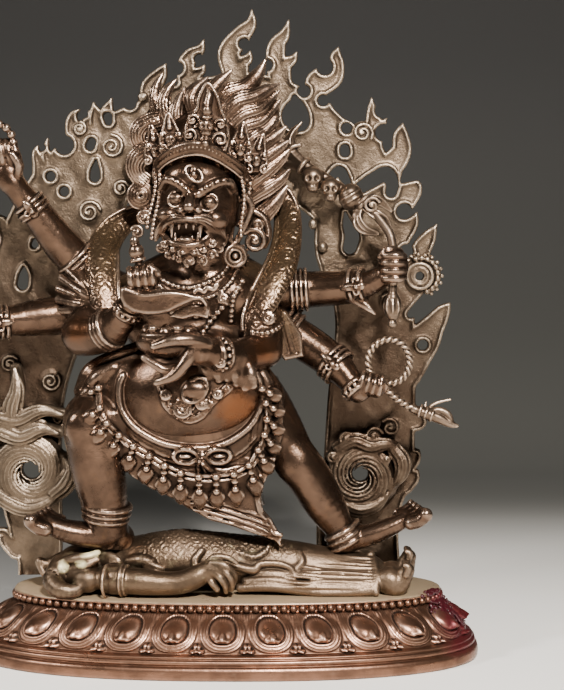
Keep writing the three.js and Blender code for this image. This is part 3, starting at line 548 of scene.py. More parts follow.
def garland(clay):
    """A ladder of short bars hung with leaf pendants, all along the front of the skirt."""
    hooks = [(-41.5, 71), (-40.6, 65), (-38.2, 60), (-34.6, 55.7), (-29.9, 52), (-24.6, 48.9), (-19.5, 45.6),
             (-14.2, 43.2), (-8.1, 41.9), (-2.5, 41.7), (3.4, 42.6), (8.3, 45.4), (11.4, 50.4), (13.4, 55.4),
             (14.2, 60.6), (13.8, 66), (12.6, 71)]
    tips = [(-47.4, 67.5), (-45.8, 60), (-42.8, 53.4), (-38.6, 48), (-33, 42.6), (-27, 38.4), (-20.8, 34.8),
            (-14.8, 31.6), (-8.2, 30), (-2.5, 29.8), (4.4, 30.4), (11.4, 33.6), (15.6, 41.6), (18, 48.4),
            (19.4, 55), (19.6, 61.4), (18.6, 67)]
    lower = [(x + 0.16 * (u - x), z + 0.16 * (v - z)) for (x, z), (u, v) in zip(hooks, tips)]
    for line, thickness in ((hooks, 0.75), (lower, 0.6)):
        clay.add(bar(clay.front([(x, z, thickness) for x, z in line], lift=0.8)), blend=0.2)
    for (hx, hz), (tx, tz) in zip(hooks, tips):
        below = (0.6 * hx + 0.4 * tx, 0.6 * hz + 0.4 * tz, 0)
        (_, y0, _, _), (_, y1, _, _) = clay.front([(hx, hz, 0), below])
        slope = np.clip((y1 - y0) / 0.4, -3, 5)
        pendant(clay, np.array((hx, y0 - 0.7, hz)), np.array((tx, y0 - 0.9 + slope, tz)))


def bow(clay):
    """A knotted sash: two loops and three falling ends."""
    for side in (-1, 1):
        turns = ((1, 0.2), (4, 2.5), (8, 1.9), (9.4, 0), (7.6, -2), (4, -2.2), (1, -0.3))
        loop = [(-7.2 + side * dx, 48.4 + dz, 0.85) for dx, dz in turns]
        clay.add(bar(clay.front(loop, lift=0.6)), blend=0.3)
        clay.add(ball(clay.front([(-7.2 + side * 5.6, 48.5, 0)], lift=0.6)[0][:3], (2.2, 1, 0.8)), blend=0.3)
    clay.add(ball(clay.front([(-7.2, 48.4, 0)], lift=0.9)[0][:3], (1.9, 1.4, 2.1)), blend=0.3)
    for path in ([(-7, 47), (-6.8, 44.2), (-5.2, 41.2)],
                 [(-6.6, 47), (-4, 44.4), (0, 43.4), (4, 44.4), (8.4, 44.6)],
                 [(-6.6, 46.6), (-3.6, 43.2), (0.6, 41.8), (5.4, 42.6)],
                 [(-7.8, 47), (-8.6, 44.4), (-8.2, 41.4)]):
        clay.add(bar(clay.front([(x, z, 0.75) for x, z in path], lift=0.6)), blend=0.3)


def skirt_cloth(clay):
    """The hide and cloth about the hips, with its hem running down to a point."""
    skirt = clay.blank()
    outline = slab(HEM, HEM_FRONT, HEM_BACK, edge=0.8)
    skirt.add(both(HIPS, outline), blend=0)
    hanging = (np.array([-20, -20, 14]), np.array([22, -10, 44]),
               lambda x, y, z: np.abs(y + 15 + 0.10 * (z - 30) - 0.5 * np.sin(0.5 * x + 0.3 * z)) - 1.5 + 0 * x)
    skirt.add(both(hanging, outline), blend=1.5)
    edge = skirt.front([(x, z, 0) for x, z in HEM[4:14]])
    skirt.add(bar([(x, y, z + 1.1, 0.75) for x, y, z, _ in edge if y > HEM_FRONT]), blend=0.6)
    for lift in (3.0, 5.4, 7.8):
        ridge = [(-9 - 0.4 * lift, 26.5 + lift), *[(x - 0.42 * lift, z + lift) for x, z in HEM[8:12]],
                 (16 - 0.55 * lift, 20.6 + lift), (13.4 - 0.4 * lift, 27 + lift)]
        skirt.add(bar(skirt.front([(x, z, 0.55) for x, z in ridge], lift=-0.05)), blend=0.6)
        skirt.cut(bar(skirt.front([(x + 0.3, z - 1.1, 0.3) for x, z in ridge], lift=0.1)), blend=0.4)
    for path in ([(-38, 66), (-34, 58), (-27, 51), (-21, 47)], [(-33, 57), (-29, 50), (-25, 44), (-19, 38)],
                 [(10, 60), (9, 53), (4, 47.6), (0, 45)], [(14, 66), (12, 58), (10, 49), (12, 42)]):
        skirt.cut(bar(skirt.front([(x, z, 0.6) for x, z in path], lift=0.1)), blend=0.9)
    for path, r in (([(-49, -12, 70), (-45.5, -12, 76), (-38, -11, 81), (-29, -12, 83.4)], 2.4),
                    ([(-46, -16, 68), (-43, -17, 73.6), (-37.4, -17, 77.4)], 2.2),
                    ([(-50, -10, 64), (-47.4, -13, 68)], 2.0),
                    ([(17.6, -10, 62), (17.4, -11, 69), (13.6, -12, 76)], 2.2),
                    ([(14.8, -15, 64), (14.6, -16, 71), (12, -16, 77)], 2.0)):
        skirt.add(bar([(*p, r * (0.8 + 0.3 * (i % 2))) for i, p in enumerate(path)]), blend=1.4)
    clay.join(skirt, 0.5)


def waistband(clay):
    """A raised rim under the belly and a wider band below it."""
    rim = [(-33.6, 75), (-34.6, 72.4), (-34.8, 68), (-33.8, 63.6), (-31, 59.4), (-26.8, 56), (-20.6, 52.9),
           (-14.7, 51.6), (-8.3, 51.2), (-2, 51.9), (3.1, 54), (8.2, 57.8), (11.5, 63), (12.7, 68.8),
           (12, 73), (10.6, 75.6)]
    clay.add(bar(clay.front([(x, z, 1.2) for x, z in rim], lift=0.3)), blend=0.5)
    band = [(-36.5, 62), (-33, 57), (-27.5, 53), (-20.6, 49.4), (-14, 47.6), (-7, 47.2), (0, 48), (6, 50.4),
            (11.2, 55.5), (14.2, 62)]
    clay.add(bar(clay.front([(x, z, 1.7) for x, z in band], lift=-0.9), flat=(0, 1, 0), thin=0.8), blend=1.2)
    for drop in (1.6, 3.0):
        clay.cut(bar(clay.front([(x + 0.1 * drop, z - drop, 0.4) for x, z in band[1:-1]])), blend=0.4)


def legs_and_skirt():
    clay = Clay((-68, -41, 9), (73, 13.2, 88), 0.42)
    bare_legs(clay)
    skirt_cloth(clay)
    belly = clay.blank()
    belly.add(ball(BELLY[0], np.array(BELLY[1]) - 0.7), blend=0)
    clay.join(belly, 1.0)
    waistband(clay)
    bow(clay)
    garland(clay)
    cast_figure("legs_and_skirt", clay, 120000)


# The standing figure: torso, arms and what the hands hold

def even_angles(count):
    """The angles of `count` places about a round, in radians."""
    return [2 * math.pi * k / count for k in range(count)]


def bangle(clay, centre, normal, radius, offsets=(-1.5, 1.5), thickness=0.8, beads=0, petal=0.0):
    """Rings about a limb, with beads between them and a leaf-shaped jewel towards the viewer."""
    n = unit(normal)
    centre = np.array(centre, float)
    for offset in offsets:
        clay.add(ring(centre + offset * n, n, radius, thickness), blend=0.3)
    u = unit(np.cross(n, (0.3, -1, 0.2)))
    v = np.cross(n, u)
    for turn in even_angles(beads):
        clay.add(ball(centre + (radius + 0.3) * (math.cos(turn) * u + math.sin(turn) * v), 0.85), blend=0.25)
    if petal:
        out = unit(np.array((0, -1, 0)) + n * n[1])
        root = centre + out * (radius + 0.2)
        clay.add(bar([(*(root - 0.6 * petal * n), 1.5), (*(root + 0.4 * petal * n + 0.5 * out), 1.3),
                      (*(root + petal * n), 0.3)], flat=out, thin=0.6), blend=0.3)
        clay.add(ball(root - 0.3 * petal * n + 0.9 * out, 0.95), blend=0.2)
        for side in (-1, 1):
            clay.add(ring(root - 0.2 * petal * n + side * 1.9 * u, out, 0.9, 0.4, steps=10), blend=0.2)


def fist(clay, at, handle, out, size=1.0):
    """A hand closed round a bar that runs along `handle`; the fingers' backs face `out`."""
    h = unit(handle)
    f = unit(np.array(out) - h * np.dot(out, h))
    s = np.cross(f, h)
    at = np.array(at, float)

    def spot(along, side, front):
        return at + size * (along * h + side * s + front * f)
    clay.add(ball(spot(0, -2.2, -0.8), np.array((3.4, 3.4, 5.4)) * size, turn=(s, f, h)), blend=1.2)
    for i, g in enumerate((-4.2, -1.45, 1.3, 3.9)):
        r = (1.45, 1.6, 1.6, 1.45)[i] * size
        clay.add(bar([(*spot(g * 0.9, -4.0, -0.6), r), (*spot(g, -3.2, 2.8), r * 1.08), (*spot(g, 0.6, 4.1), r),
                      (*spot(g, 3.2, 2.2), r * 0.95), (*spot(g, 3.0, -0.2), r * 0.8)]), blend=0.35)
    clay.add(bar([(*spot(5.0, -2.4, 0), 1.8 * size), (*spot(6.0, 0.4, 3.2), 1.6 * size),
                  (*spot(3.6, 2.8, 4.0), 1.3 * size)]), blend=0.4)


def scrollwork(x, z, pitch, depth):
    """Small furrowed scrolls in staggered rows."""
    row = np.floor(z / pitch)
    aside = (x / pitch + 0.5 * (row % 2)) % 1 - 0.5
    up = z / pitch - row - 0.5
    turn = np.arctan2(up, aside) * np.where(row % 2, 1, -1)
    return depth * (0.5 - 0.5 * np.cos(2 * math.pi * 3.4 * np.hypot(aside, up) + turn))


def string_of_beads(clay, path, size):
    """Beads set close together on the clay's front along a path of (x, z)."""
    rows = np.array(clay.front([(x, z, 0) for x, z in smooth_path(path, 8)]))[:, :3]
    far = np.concatenate([[0], np.cumsum(np.linalg.norm(np.diff(rows, axis=0), axis=1))])
    for s in np.arange(0, far[-1], size * 1.9):
        x, y, z = (np.interp(s, far, rows[:, i]) for i in range(3))
        clay.add(ball((x, y - 0.4 * size, z), size), blend=0.15)


def rosette(clay, x, z, size, beads=12):
    """A round jewel: a domed middle in two rims, with beads about it."""
    (px, py, pz, _), = clay.front([(x, z, 0)])
    clay.add(ball((px, py, pz), (size, 0.9, size)), blend=0.2)
    clay.add(ring((px, py - 0.8, pz), (0, -1, 0.15), size * 0.92, 0.16 * size + 0.18), blend=0.15)
    clay.add(ring((px, py - 1.1, pz), (0, -1, 0.15), size * 0.56, 0.12 * size + 0.12), blend=0.15)
    clay.add(ball((px, py - 1.2, pz), size * 0.3), blend=0.1)
    for turn in even_angles(beads):
        at = (px + size * 1.2 * math.cos(turn), py - 0.4, pz + size * 1.2 * math.sin(turn))
        clay.add(ball(at, 0.11 * size + 0.26), blend=0.2)


def trunk(clay):
    """Chest, belly, neck, shoulders and the near upper arms."""
    clay.add(ball((-9.5, -2, 94), (27, 12.5, 19)), blend=0)
    clay.add(ball(*BELLY), ball((-18.5, -9.4, 67), (20.5, 16.2, 19.4)), blend=4)
    clay.add(ball((-20, -11, 101), (10.5, 5.6, 8)), ball((1, -11, 101), (10, 5.6, 8)), blend=3)
    clay.add(bar([(-8, -3, 104, 10.5), (-8, -5, 118, 9.5), (-8.5, -6, 128, 9)]), blend=4)
    clay.add(bar([(-28, 0, 104, 8), (-8, 2, 112, 8), (9, 0, 104, 8)]), blend=4)
    clay.add(bar([(-26, -2, 101, 8.2), (-36, -4, 99, 8), (-44, -9, 93, 7.4), (-47.4, -14, 88.6, 7)]),
             bar([(4, -3, 100, 8), (10.5, -6, 95.6, 7.8), (13, -11, 88.6, 6.6), (13.6, -15, 83.4, 5.6)]),
             blend=2)


def necklaces(clay):
    """Strings of beads on the chest, with three round jewels."""
    for size, path in (
            (0.95, [(-21.8, 107.2), (-16.2, 104.6), (-11.1, 104.1), (-5.9, 105.7), (-0.8, 108.7),
                    (1.3, 111.8)]),
            (0.8, [(-24.4, 108.5), (-20.4, 103.6), (-15, 100.6), (-9, 100), (-3.4, 101.6), (1.6, 105.4),
                   (4.2, 110)]),
            (1.1, [(-28, 108), (-26, 102), (-20, 97), (-11, 94.6), (-4, 95.4)]),
            (1.15, [(5.3, 103.6), (1.7, 100), (-3.4, 94.4), (-7.5, 88.7)]),
            (1.0, [(6.1, 106.2), (3, 100.5), (2, 91.3)])):
        string_of_beads(clay, path, size)
    for x, z in ((-18, 99.2), (-9, 97.6), (-0.4, 100.6)):
        rosette(clay, x, z, 1.7, beads=8)


def belly_plaque(clay):
    """The jewelled plaque that hangs on the belly, and the pleated flap beside it."""
    plaque = [(-21.5, 72.5), (-19.4, 66), (-15.4, 62), (-10.8, 60.2), (-6.4, 62.2), (-2.6, 66.8), (2.6, 71.2),
              (3, 75)]
    for row in (0.0, 1.9):
        edge = [(x * (1 - 0.06 * row) - 0.5 * row, z + 0.9 * row) for x, z in plaque]
        clay.add(bar(clay.front([(x, z, 0.6) for x, z in edge], lift=0.3)), blend=0.2)
    string_of_beads(clay, [(x * 0.97 - 0.3, z + 0.9) for x, z in plaque], 0.65)
    (jx, jy, jz, _), = clay.front([(-9, 71, 0)])
    clay.add(ball((jx, jy + 0.2, jz), (4.6, 2.2, 3.2)), blend=0.3)
    clay.add(ring((jx, jy - 0.3, jz), (0, -1, 0.1), 4.7, 0.75, stretch=0.7), blend=0.2)
    rosette(clay, -13.2, 64.8, 2.9)
    rosette(clay, -6.8, 66.6, 2.0, beads=9)
    rosette(clay, -18.6, 69.4, 1.6, beads=8)
    rosette(clay, -1.6, 69.6, 1.5, beads=8)
    (_, fy, _, _), = clay.front([(3, 75, 0)])
    for i, (x, z) in enumerate(((-5, 75.6), (-2, 74.6), (1, 75), (4, 73.4), (6.8, 71.8), (9.2, 72.6))):
        clay.add(bar([(x - 1, fy + 0.4, 79.5, 2.2), (x, fy - 0.6 - 0.8 * (i % 2), 0.5 * (z + 79.5), 2.1),
                      (x + 0.6, fy - 0.8, z, 1.6)], flat=(0, 1, 0), thin=0.8), blend=0.9)


def scarf(clay, path, cross):
    """A brocade band with raised hems, through rows of (x, y, z, half the width)."""
    cloth = clay.blank()
    centre = smooth_path(path, 6)
    cloth.add(bar(path, flat=cross, thin=0.3, steps=6), blend=0)
    low, high = centre[:, :3].min(0) - 7, centre[:, :3].max(0) + 7
    cloth.press(low, high, lambda x, y, z: scrollwork(x + 0 * y, z, 4.2, 0.55) + 0 * y)
    aside = np.gradient(centre[:, [0, 2]], axis=0)
    aside /= np.linalg.norm(aside, axis=1)[:, None]
    for side in (-1, 1):
        edge = centre.copy()
        edge[:, 0] += side * aside[:, 1] * (centre[:, 3] - 0.3)
        edge[:, 2] -= side * aside[:, 0] * (centre[:, 3] - 0.3)
        edge[:, 1] -= 0.4
        edge[:, 3] = 0.75
        cloth.add(bar(edge, steps=1), blend=0.3)
    clay.join(cloth, 0.4)


def shoulder_cloth(clay):
    """Pleats that fan out from under the scarf, and a plain corner behind the other elbow."""
    for i, (x, z) in enumerate(((-47.4, 109.4), (-50.4, 110), (-53.4, 109.6), (-55.8, 107), (-56.8, 103.4),
                                (-57, 99.6), (-56.6, 96))):
        root, tip = np.array((-40.5 + 0.2 * i, -12.6, 98.6 - 0.25 * i)), np.array((x, -5.4, z))
        middle = 0.5 * root + 0.5 * tip - (0, 1.6 + 0.8 * (i % 2), 0)
        clay.add(bar([(*root, 0.9), (*middle, 1.6), (*tip, 1.5)], flat=(0.4, -1, 0.3), thin=0.8), blend=0.3)
    clay.add(slab([(16, 97), (20.5, 96), (26, 88), (26.5, 80.5), (20, 79), (16, 84)], -8.4, -5.6, edge=0.9),
             blend=0.8)
    for dx in (0, 2.6):
        clay.cut(bar([(18.5 + dx, -8.6, 94 - dx, 0.4), (21.6 + dx, -8.6, 82, 0.5)]), blend=0.3)
    rosette(clay, 14.6, 94, 2.1)
    string_of_beads(clay, [(9.4, 89.6), (13.4, 89.2), (17.4, 90.4), (19.6, 92.4)], 0.95)


def near_forearms(clay):
    """The arms cross before the chest."""
    clay.add(bar([(-47.6, -14, 88.4, 6.9), (-43, -17.6, 88.8, 7), (-37.6, -21.5, 90.6, 6.2),
                  (-31.6, -27, 96.4, 4.6), (-27.6, -30.6, 103.6, 3.9)]),
             bar([(13.6, -15, 82.8, 5.3), (9, -19, 82.4, 5.7), (3, -25, 82.4, 5.3), (-3.4, -31, 83.2, 4.3)]),
             blend=2)
    bangle(clay, (-38.2, -21.5, 90.4), (0.7, -0.5, 0.35), 6.4, (-1.6, 0, 1.6), 0.85)
    bangle(clay, (-31, -27.6, 97), (0.55, -0.45, 0.9), 4.4, (-1.1, 1.1), 0.7, beads=14)
    bangle(clay, (-0.6, -28.6, 82.9), (0.8, 0.6, 0), 4.9, (-1.6, 1.6), 0.8, beads=14)
    rosette(clay, -0.4, 80.6, 1.6, beads=7)


def knife_hand(clay):
    """The fist before the chest, with the curved knife and its hook."""
    fist(clay, (-25.8, -33, 108.2), (1, 0.1, 0.12), (0, -1, 0.15), 0.84)
    clay.add(bar([(-24.6, -33, 104, 1.3), (-27, -33, 114, 1.3)]), blend=0.2)
    clay.add(ball((-27.4, -33, 116.4), (2.5, 2.3, 2.7)),
             ring((-27, -33, 113.8), (0.24, 0, -1), 2.0, 0.7, steps=10),
             ball((-28, -33, 119.6), (1.5, 1.5, 2.2)), blend=0.3)
    clay.add(ring((-24.4, -34, 103.8), (0.24, 0, -1), 2.2, 0.9, steps=10), blend=0.3)
    blade = [(-32.4, 104.6), (-32.6, 102), (-31.2, 99), (-28.2, 97), (-24.3, 96.2), (-19.9, 96.2),
             (-16.4, 97), (-12.9, 98.8), (-9.2, 100.4), (-7, 100.9), (-5.4, 99.6), (-4.6, 98.2), (-4.2, 100),
             (-5.2, 102.2), (-8.6, 102.8), (-13, 103.8), (-19.8, 104.8), (-24.6, 103.8), (-28, 104.6),
             (-30.8, 105.6)]
    clay.add(slab(blade, -38, -34.2, edge=1.3), blend=0.3)
    clay.add(bar([(-31.5, -37.2, 103.6, 0.6), (-24.5, -37.8, 102.4, 0.6), (-16, -37.8, 103.2, 0.6),
                  (-8, -37.2, 101.9, 0.5)]), blend=0.4)
    hook = [(-9.4, 101.8), (-7.4, 104.4), (-5.6, 103.6), (-4.4, 105), (-2.4, 104.4), (-1.2, 106)]
    clay.add(bar([(x, -36.2, z, 0.8) for x, z in hook]), blend=0.3)
    second = [(-17, 95.4), (-14.6, 97.6), (-10.1, 99.6), (-5, 99.6), (-3.6, 98), (-4.4, 94.8), (-8.7, 95.6),
              (-12.6, 94.4)]
    clay.add(slab(second, -34.8, -32.4, edge=0.7), blend=0.3)


def skull_bowl(clay):
    """A bowl with a rim, heaped with small lumps."""
    x, y = -17, -33.2
    bowl = clay.blank()
    bowl.add(ball((x, y, 87.4), (10.8, 6.4, 5.6)), blend=0)
    bowl.cut(ball((x, y, 91.6), (8.6, 4.8, 3.2)), blend=0.3)
    bowl.add(ball((x, y, 89.8), (8.2, 4.6, 2.2)), blend=0.3)
    rim = [(x + 9.4 * math.cos(t), y + 5.6 * math.sin(t), 89.6, 0.7) for t in np.linspace(0, 2 * math.pi, 25)]
    bowl.add(bar(rim, steps=1), blend=0.3)
    for k, turn in enumerate(even_angles(11)):
        lump = (x + 7.4 * math.cos(turn), y + 4 * math.sin(turn), 91 + 0.8 * (k % 2))
        bowl.add(ball(lump, (1.7, 1.4, 1.2)), blend=0.4)
    clay.join(bowl, 0.4)


def bowl_hand(clay):
    """The hand under the skull bowl."""
    clay.add(bar([(-3.4, -31.2, 83.4, 4.3), (-7.5, -34, 84.2, 4.6), (-11, -34.6, 83, 3.4)]), blend=1)
    skull_bowl(clay)
    for rows in ([(-5, -35, 86.6, 2.6), (-9.5, -38, 88.2, 2.3), (-15.5, -39.4, 88, 1.9),
                  (-21.4, -38.6, 86.2, 1.2)],
                 [(-8.6, -36.6, 85.4, 2.6), (-11.5, -37.8, 81, 2.2), (-15, -37.8, 76.8, 1.9),
                  (-20.6, -36.8, 74.4, 1.3)],
                 [(-12.6, -36.6, 79.4, 2.0), (-17.6, -37, 78.4, 1.8), (-21, -37, 80, 1.5),
                  (-25, -36.4, 82.4, 1.0)],
                 [(-11, -34.6, 82, 2.2), (-16, -34.6, 79.8, 1.9), (-21, -34, 81.4, 1.5),
                  (-24.4, -33.4, 84.6, 1.1)]):
        clay.add(bar(rows), blend=0.4)


def torso():
    clay = Clay((-64, -41.5, 48.6), (32, 13.2, 145), 0.4)
    trunk(clay)
    belly_plaque(clay)
    necklaces(clay)
    scarf(clay, [(-28, 8, 129.4, 2.6), (-33.5, 7, 127.8, 3.6), (-38.8, 3.6, 123.6, 4.6),
                 (-41.8, -1, 118, 5.2), (-41.8, -6.4, 112.6, 5.6), (-41, -10.4, 107, 5.4),
                 (-40, -13.2, 101.6, 5), (-38.6, -14.8, 96.4, 4.2)], (0.2, -1, 0.35))
    scarf(clay, [(13, 8.8, 139.4, 2.4), (18, 7.8, 136, 3.4), (20.6, 5, 129.6, 4.2), (20.8, 0, 121, 4.6),
                 (19.2, -6, 113, 5), (15.8, -10.8, 105.6, 5.2), (12, -14, 98.6, 4.8), (9, -15.8, 93, 3.4),
                 (7.8, -16.4, 89.6, 2)], (-0.2, -1, 0.35))
    shoulder_cloth(clay)
    near_forearms(clay)
    knife_hand(clay)
    bowl_hand(clay)
    # Painted highlight: a warm orange tint on the belly's right side and on both elbows, where the lamp lights
    # them.
    warm_highlight_patch = patch(((5, -24, 64), (6, 12, 6)), ((-47, -17, 90), (5, 7, 4)), ((11, -18, 83), (6, 8, 4)))
    brocade = patch(((-40, 0, 112), (9, 13, 18)), ((18, 0, 112), (11, 14, 27)))
    cast_figure("torso", clay, 145000, tints=[warm_highlight_patch, brocade])


def raised_left_arm(clay):
    """The arm that holds up a string of skulls."""
    clay.add(bar([(-28, 2, 100, 7.5), (-38, 2.5, 102, 7.2), (-47, 1.4, 108.5, 6.8), (-56, -1.4, 118, 6.4),
                  (-63, -4, 127.5, 5.4), (-68.6, -6, 134.6, 4.3), (-71.4, -7, 138.6, 4.1)]), blend=2)
    bangle(clay, (-50.4, 0.6, 112.2), (-0.66, -0.2, 0.72), 7.3, (-2.6, -1, 0.8, 2.6), 0.75)
    bangle(clay, (-66.2, -5, 131.4), (-0.6, -0.2, 0.77), 5.4, (-2.2, -0.6, 1.4), 0.8, petal=3.6)
    clay.add(ball((-73.4, -7.6, 142), (4.6, 3.4, 6)), blend=1.5)
    for dx in (-3.4, -0.8, 1.8, 4.2):
        clay.add(bar([(-73.4 + dx, -8.6, 144.6, 1.5), (-74.2 + dx, -10.6, 149, 1.45),
                      (-75 + dx * 0.8, -9.4, 152.8, 1.3), (-75.4 + dx * 0.6, -7, 152.6, 1.1)]), blend=0.35)
    clay.add(bar([(-70, -8.6, 140.6, 1.6), (-69, -11.4, 145, 1.45), (-71, -12, 148.6, 1.2)]), blend=0.4)
    for turn in even_angles(14):
        c, s = math.cos(turn), math.sin(turn)
        centre = np.array((-76.6 + 5.6 * c, -10.2 - 1.2 * s, 152.6 + 6.2 * s))
        clay.add(ball(centre, 1.5), blend=0.25)
        out = unit((c, -0.6, s))
        for side in (-1, 1):
            eye = centre + 1.25 * out * 0.4 + np.array((side * 0.55, -1.25, 0.3))
            clay.cut(ball(eye, 0.38), blend=0.15)


def lower_left_arm(clay):
    """The arm that holds a small drum."""
    clay.add(bar([(-28, 1, 97, 7), (-40, 2, 95.4, 6.8), (-52, 1, 94.4, 6.8), (-64, -1.6, 93.4, 6.4),
                  (-75, -5, 92.2, 5), (-82, -7, 91.4, 4.2)]), blend=2)
    bangle(clay, (-50.6, 1, 94.4), (-1, -0.1, -0.1), 7.4, (-3, -1.2, 0.6, 2.4), 0.75)
    bangle(clay, (-76.4, -5.6, 92), (-1, -0.25, -0.08), 5.5, (-1.6, 0.2, 2), 0.8, petal=-4)
    fist(clay, (-86, -8.6, 90.4), (-0.1, -0.3, 1), (-0.3, -1, 0), 0.82)
    clay.add(bar([(-86, -9.6, 84, 1.1), (-86, -9.2, 88, 1.1)]), blend=0.2)


def hand_drum(clay):
    """A waisted drum with two rims and cords between them."""
    y, z = -10.6, 84
    drum = clay.blank()
    drum.add(bar([(-93, y, z, 5.2), (-86, y, z, 2.4), (-79, y, z, 5.2)], steps=1), blend=0)
    drum.press((-98, -16, 78), (-70, -4, 90),
               lambda x, y, z: np.maximum(np.abs(x + 86) - 6.4, 0) * 6 + 0 * y + 0 * z)
    for x, radius, thickness, steps in ((-92, 4.9, 0.55, 20), (-80, 4.9, 0.55, 20), (-86, 2.5, 0.7, 12)):
        drum.add(ring((x, y, z), (1, 0, 0), radius, thickness, steps=steps), blend=0.2)
    for turn in even_angles(8):
        c, s = math.cos(turn), math.sin(turn)
        cord = [(x, y + r * c, z + r * s, 0.35) for x, r in ((-91.4, 5), (-86, 2.7), (-80.6, 5))]
        drum.add(bar(cord, steps=1), blend=0.15)
    clay.join(drum, 0.3)


def left_outer_arms():
    clay = Clay((-98, -16, 78), (-26, 13.2, 166), 0.4)
    raised_left_arm(clay)
    lower_left_arm(clay)
    hand_drum(clay)
    cast_figure("left_outer_arms", clay, 60000)


def right_outer_arms():
    """The arm that holds the trident, with a wisp of cloth, and the arm that holds the noose."""
    clay = Clay((4, -16, 58), (66, 13.2, 122), 0.4)
    clay.add(bar([(8, 1, 100, 7), (20, 2, 102.4, 6.4), (31, 1.4, 103, 6.2), (41, -1.4, 103.8, 5.8),
                  (48, -4, 105, 4.4), (53, -5.4, 107.6, 3.8)]), blend=2)
    bangle(clay, (25, 1.8, 102.8), (1, 0, 0.06), 7, (-2.6, -1, 0.6, 2.2), 0.7)
    bangle(clay, (45, -3, 104.4), (1, -0.35, 0.15), 5.6, (-1.8, 1.8), 0.8, petal=-4.5)
    clay.add(bar([(42.5, -5.4, 100.8, 1.9), (47, -6.6, 98, 1.5), (51, -7.4, 94.6, 0.4)], flat=(0, 1, 0),
                 thin=0.55), blend=0.6)
    fist(clay, (56.6, -6, 111), (0, 0, 1), (-0.55, -1, 0), 0.95)
    clay.add(bar([(6, 1, 94, 7), (16, 2, 90.6, 6.8), (27, 0, 84.8, 6.6), (36, -3.4, 78.6, 6),
                  (41, -6, 73.6, 4.6), (45, -8, 68.6, 3.9)]), blend=2)
    bangle(clay, (21, 1, 88.2), (0.85, -0.1, -0.5), 7.6, (-2, 0.2, 2), 0.8)
    bangle(clay, (37.2, -4.4, 77.6), (0.75, -0.35, -0.62), 6.4, (-1.8, 0, 1.8), 0.75, petal=-4.5)
    bangle(clay, (44.2, -7.6, 69.8), (0.6, -0.3, -0.7), 4.6, (-1.3, 1.3), 0.7, beads=14)
    fist(clay, (49, -8, 71.4), (1, 0.1, -0.3), (0.1, -1, 0.1), 0.8)
    cast_figure("right_outer_arms", clay, 50000)


# The standing figure: head, crown and flaming hair

def spiral(clay, centre, radius, thickness, turns=1.6, start=0.0, hand=1, blend=0.25):
    """An upright scroll that winds in to its middle, which carries a bead."""
    x, y, z = centre
    steps = int(12 * turns) + 1
    rows = []
    for t in np.linspace(0, 1, steps):
        turn = start + hand * 2 * math.pi * turns * t
        r = radius * (1 - 0.78 * t)
        rows.append((x + r * math.cos(turn), y - 0.25 * radius * t, z + r * math.sin(turn),
                     thickness * (1 - 0.25 * t)))
    clay.add(bar(rows, steps=1), blend=blend)
    clay.add(ball((x, y - 0.2 * radius, z), thickness * 1.25), blend=blend)


def lock(clay, path, width, strands=6, size=0.56, bulge=1.2, root=0.6, tip=0.05, blend=0.14):
    """A lock of hair: strands side by side that meet in a point."""
    rows = smooth_path(path, 5)
    along = np.gradient(rows, axis=0)
    side = np.stack([-along[:, 2], 0 * along[:, 0], along[:, 0]], 1)
    side /= np.maximum(np.linalg.norm(side, axis=1), 1e-6)[:, None]
    t = np.linspace(0, 1, len(rows))[:, None]
    wide = width * np.interp(t, [0, 0.35, 0.75, 1], [root, 1, max(0.62, tip), tip])
    clay.add(bar(np.hstack([rows + (0, 0.9, 0), wide * 0.9]), flat=(0, 1, 0), thin=0.4, steps=1), blend=0.5)
    for k in range(strands):
        share = 2 * k / (strands - 1) - 1
        rise = np.array((0, 1, 0)) * bulge * (1 - share * share) * (wide / width)
        centre = rows + share * wide * side - rise
        thick = size * np.interp(t, [0, 0.6, 1], [1, 0.95, 0.55])
        clay.add(bar(np.hstack([centre, thick]), steps=1), blend=blend)


def skull(clay, centre, size):
    """A small skull with hollow eyes, nose and mouth."""
    x, y, z = centre
    jaw = ball((x, y - 0.5 * size, z - 2.1 * size), np.array((1.6, 1.5, 1.5)) * size)
    clay.add(ball((x, y, z), np.array((2.5, 2.2, 2.4)) * size), jaw, blend=0.5)
    for side in (-1, 1):
        clay.cut(ball((x + side * 1.0 * size, y - 2.1 * size, z - 0.3 * size), 0.72 * size), blend=0.15)
    clay.cut(bar([(x, y - 2.2 * size, z - 1.3 * size, 0.3 * size),
                  (x, y - 2.2 * size, z - 1.8 * size, 0.4 * size)]), blend=0.15)
    clay.cut(bar([(x - 1.1 * size, y - 1.9 * size, z - 2.6 * size, 0.2),
                  (x + 1.1 * size, y - 1.9 * size, z - 2.6 * size, 0.2)]), blend=0.1)


def head_mass(clay):
    """The skull's and jaw's bulk, forehead and cheeks."""
    clay.add(ball((-9.3, -8, 133), (14, 12, 18)), ball((-9, -6, 150), (14.5, 11, 13)), blend=3)
    clay.add(ball((-10, -13, 120.5), (11, 8, 6.5)), blend=3)
    clay.add(ball((-9.6, -14.6, 141), (10.5, 6, 6)), blend=2)
    clay.add(ball((-18.2, -17.4, 128.4), (4, 3.6, 3)), ball((-3.2, -16.4, 126.6), (5, 4.4, 4.2)), blend=1.4)


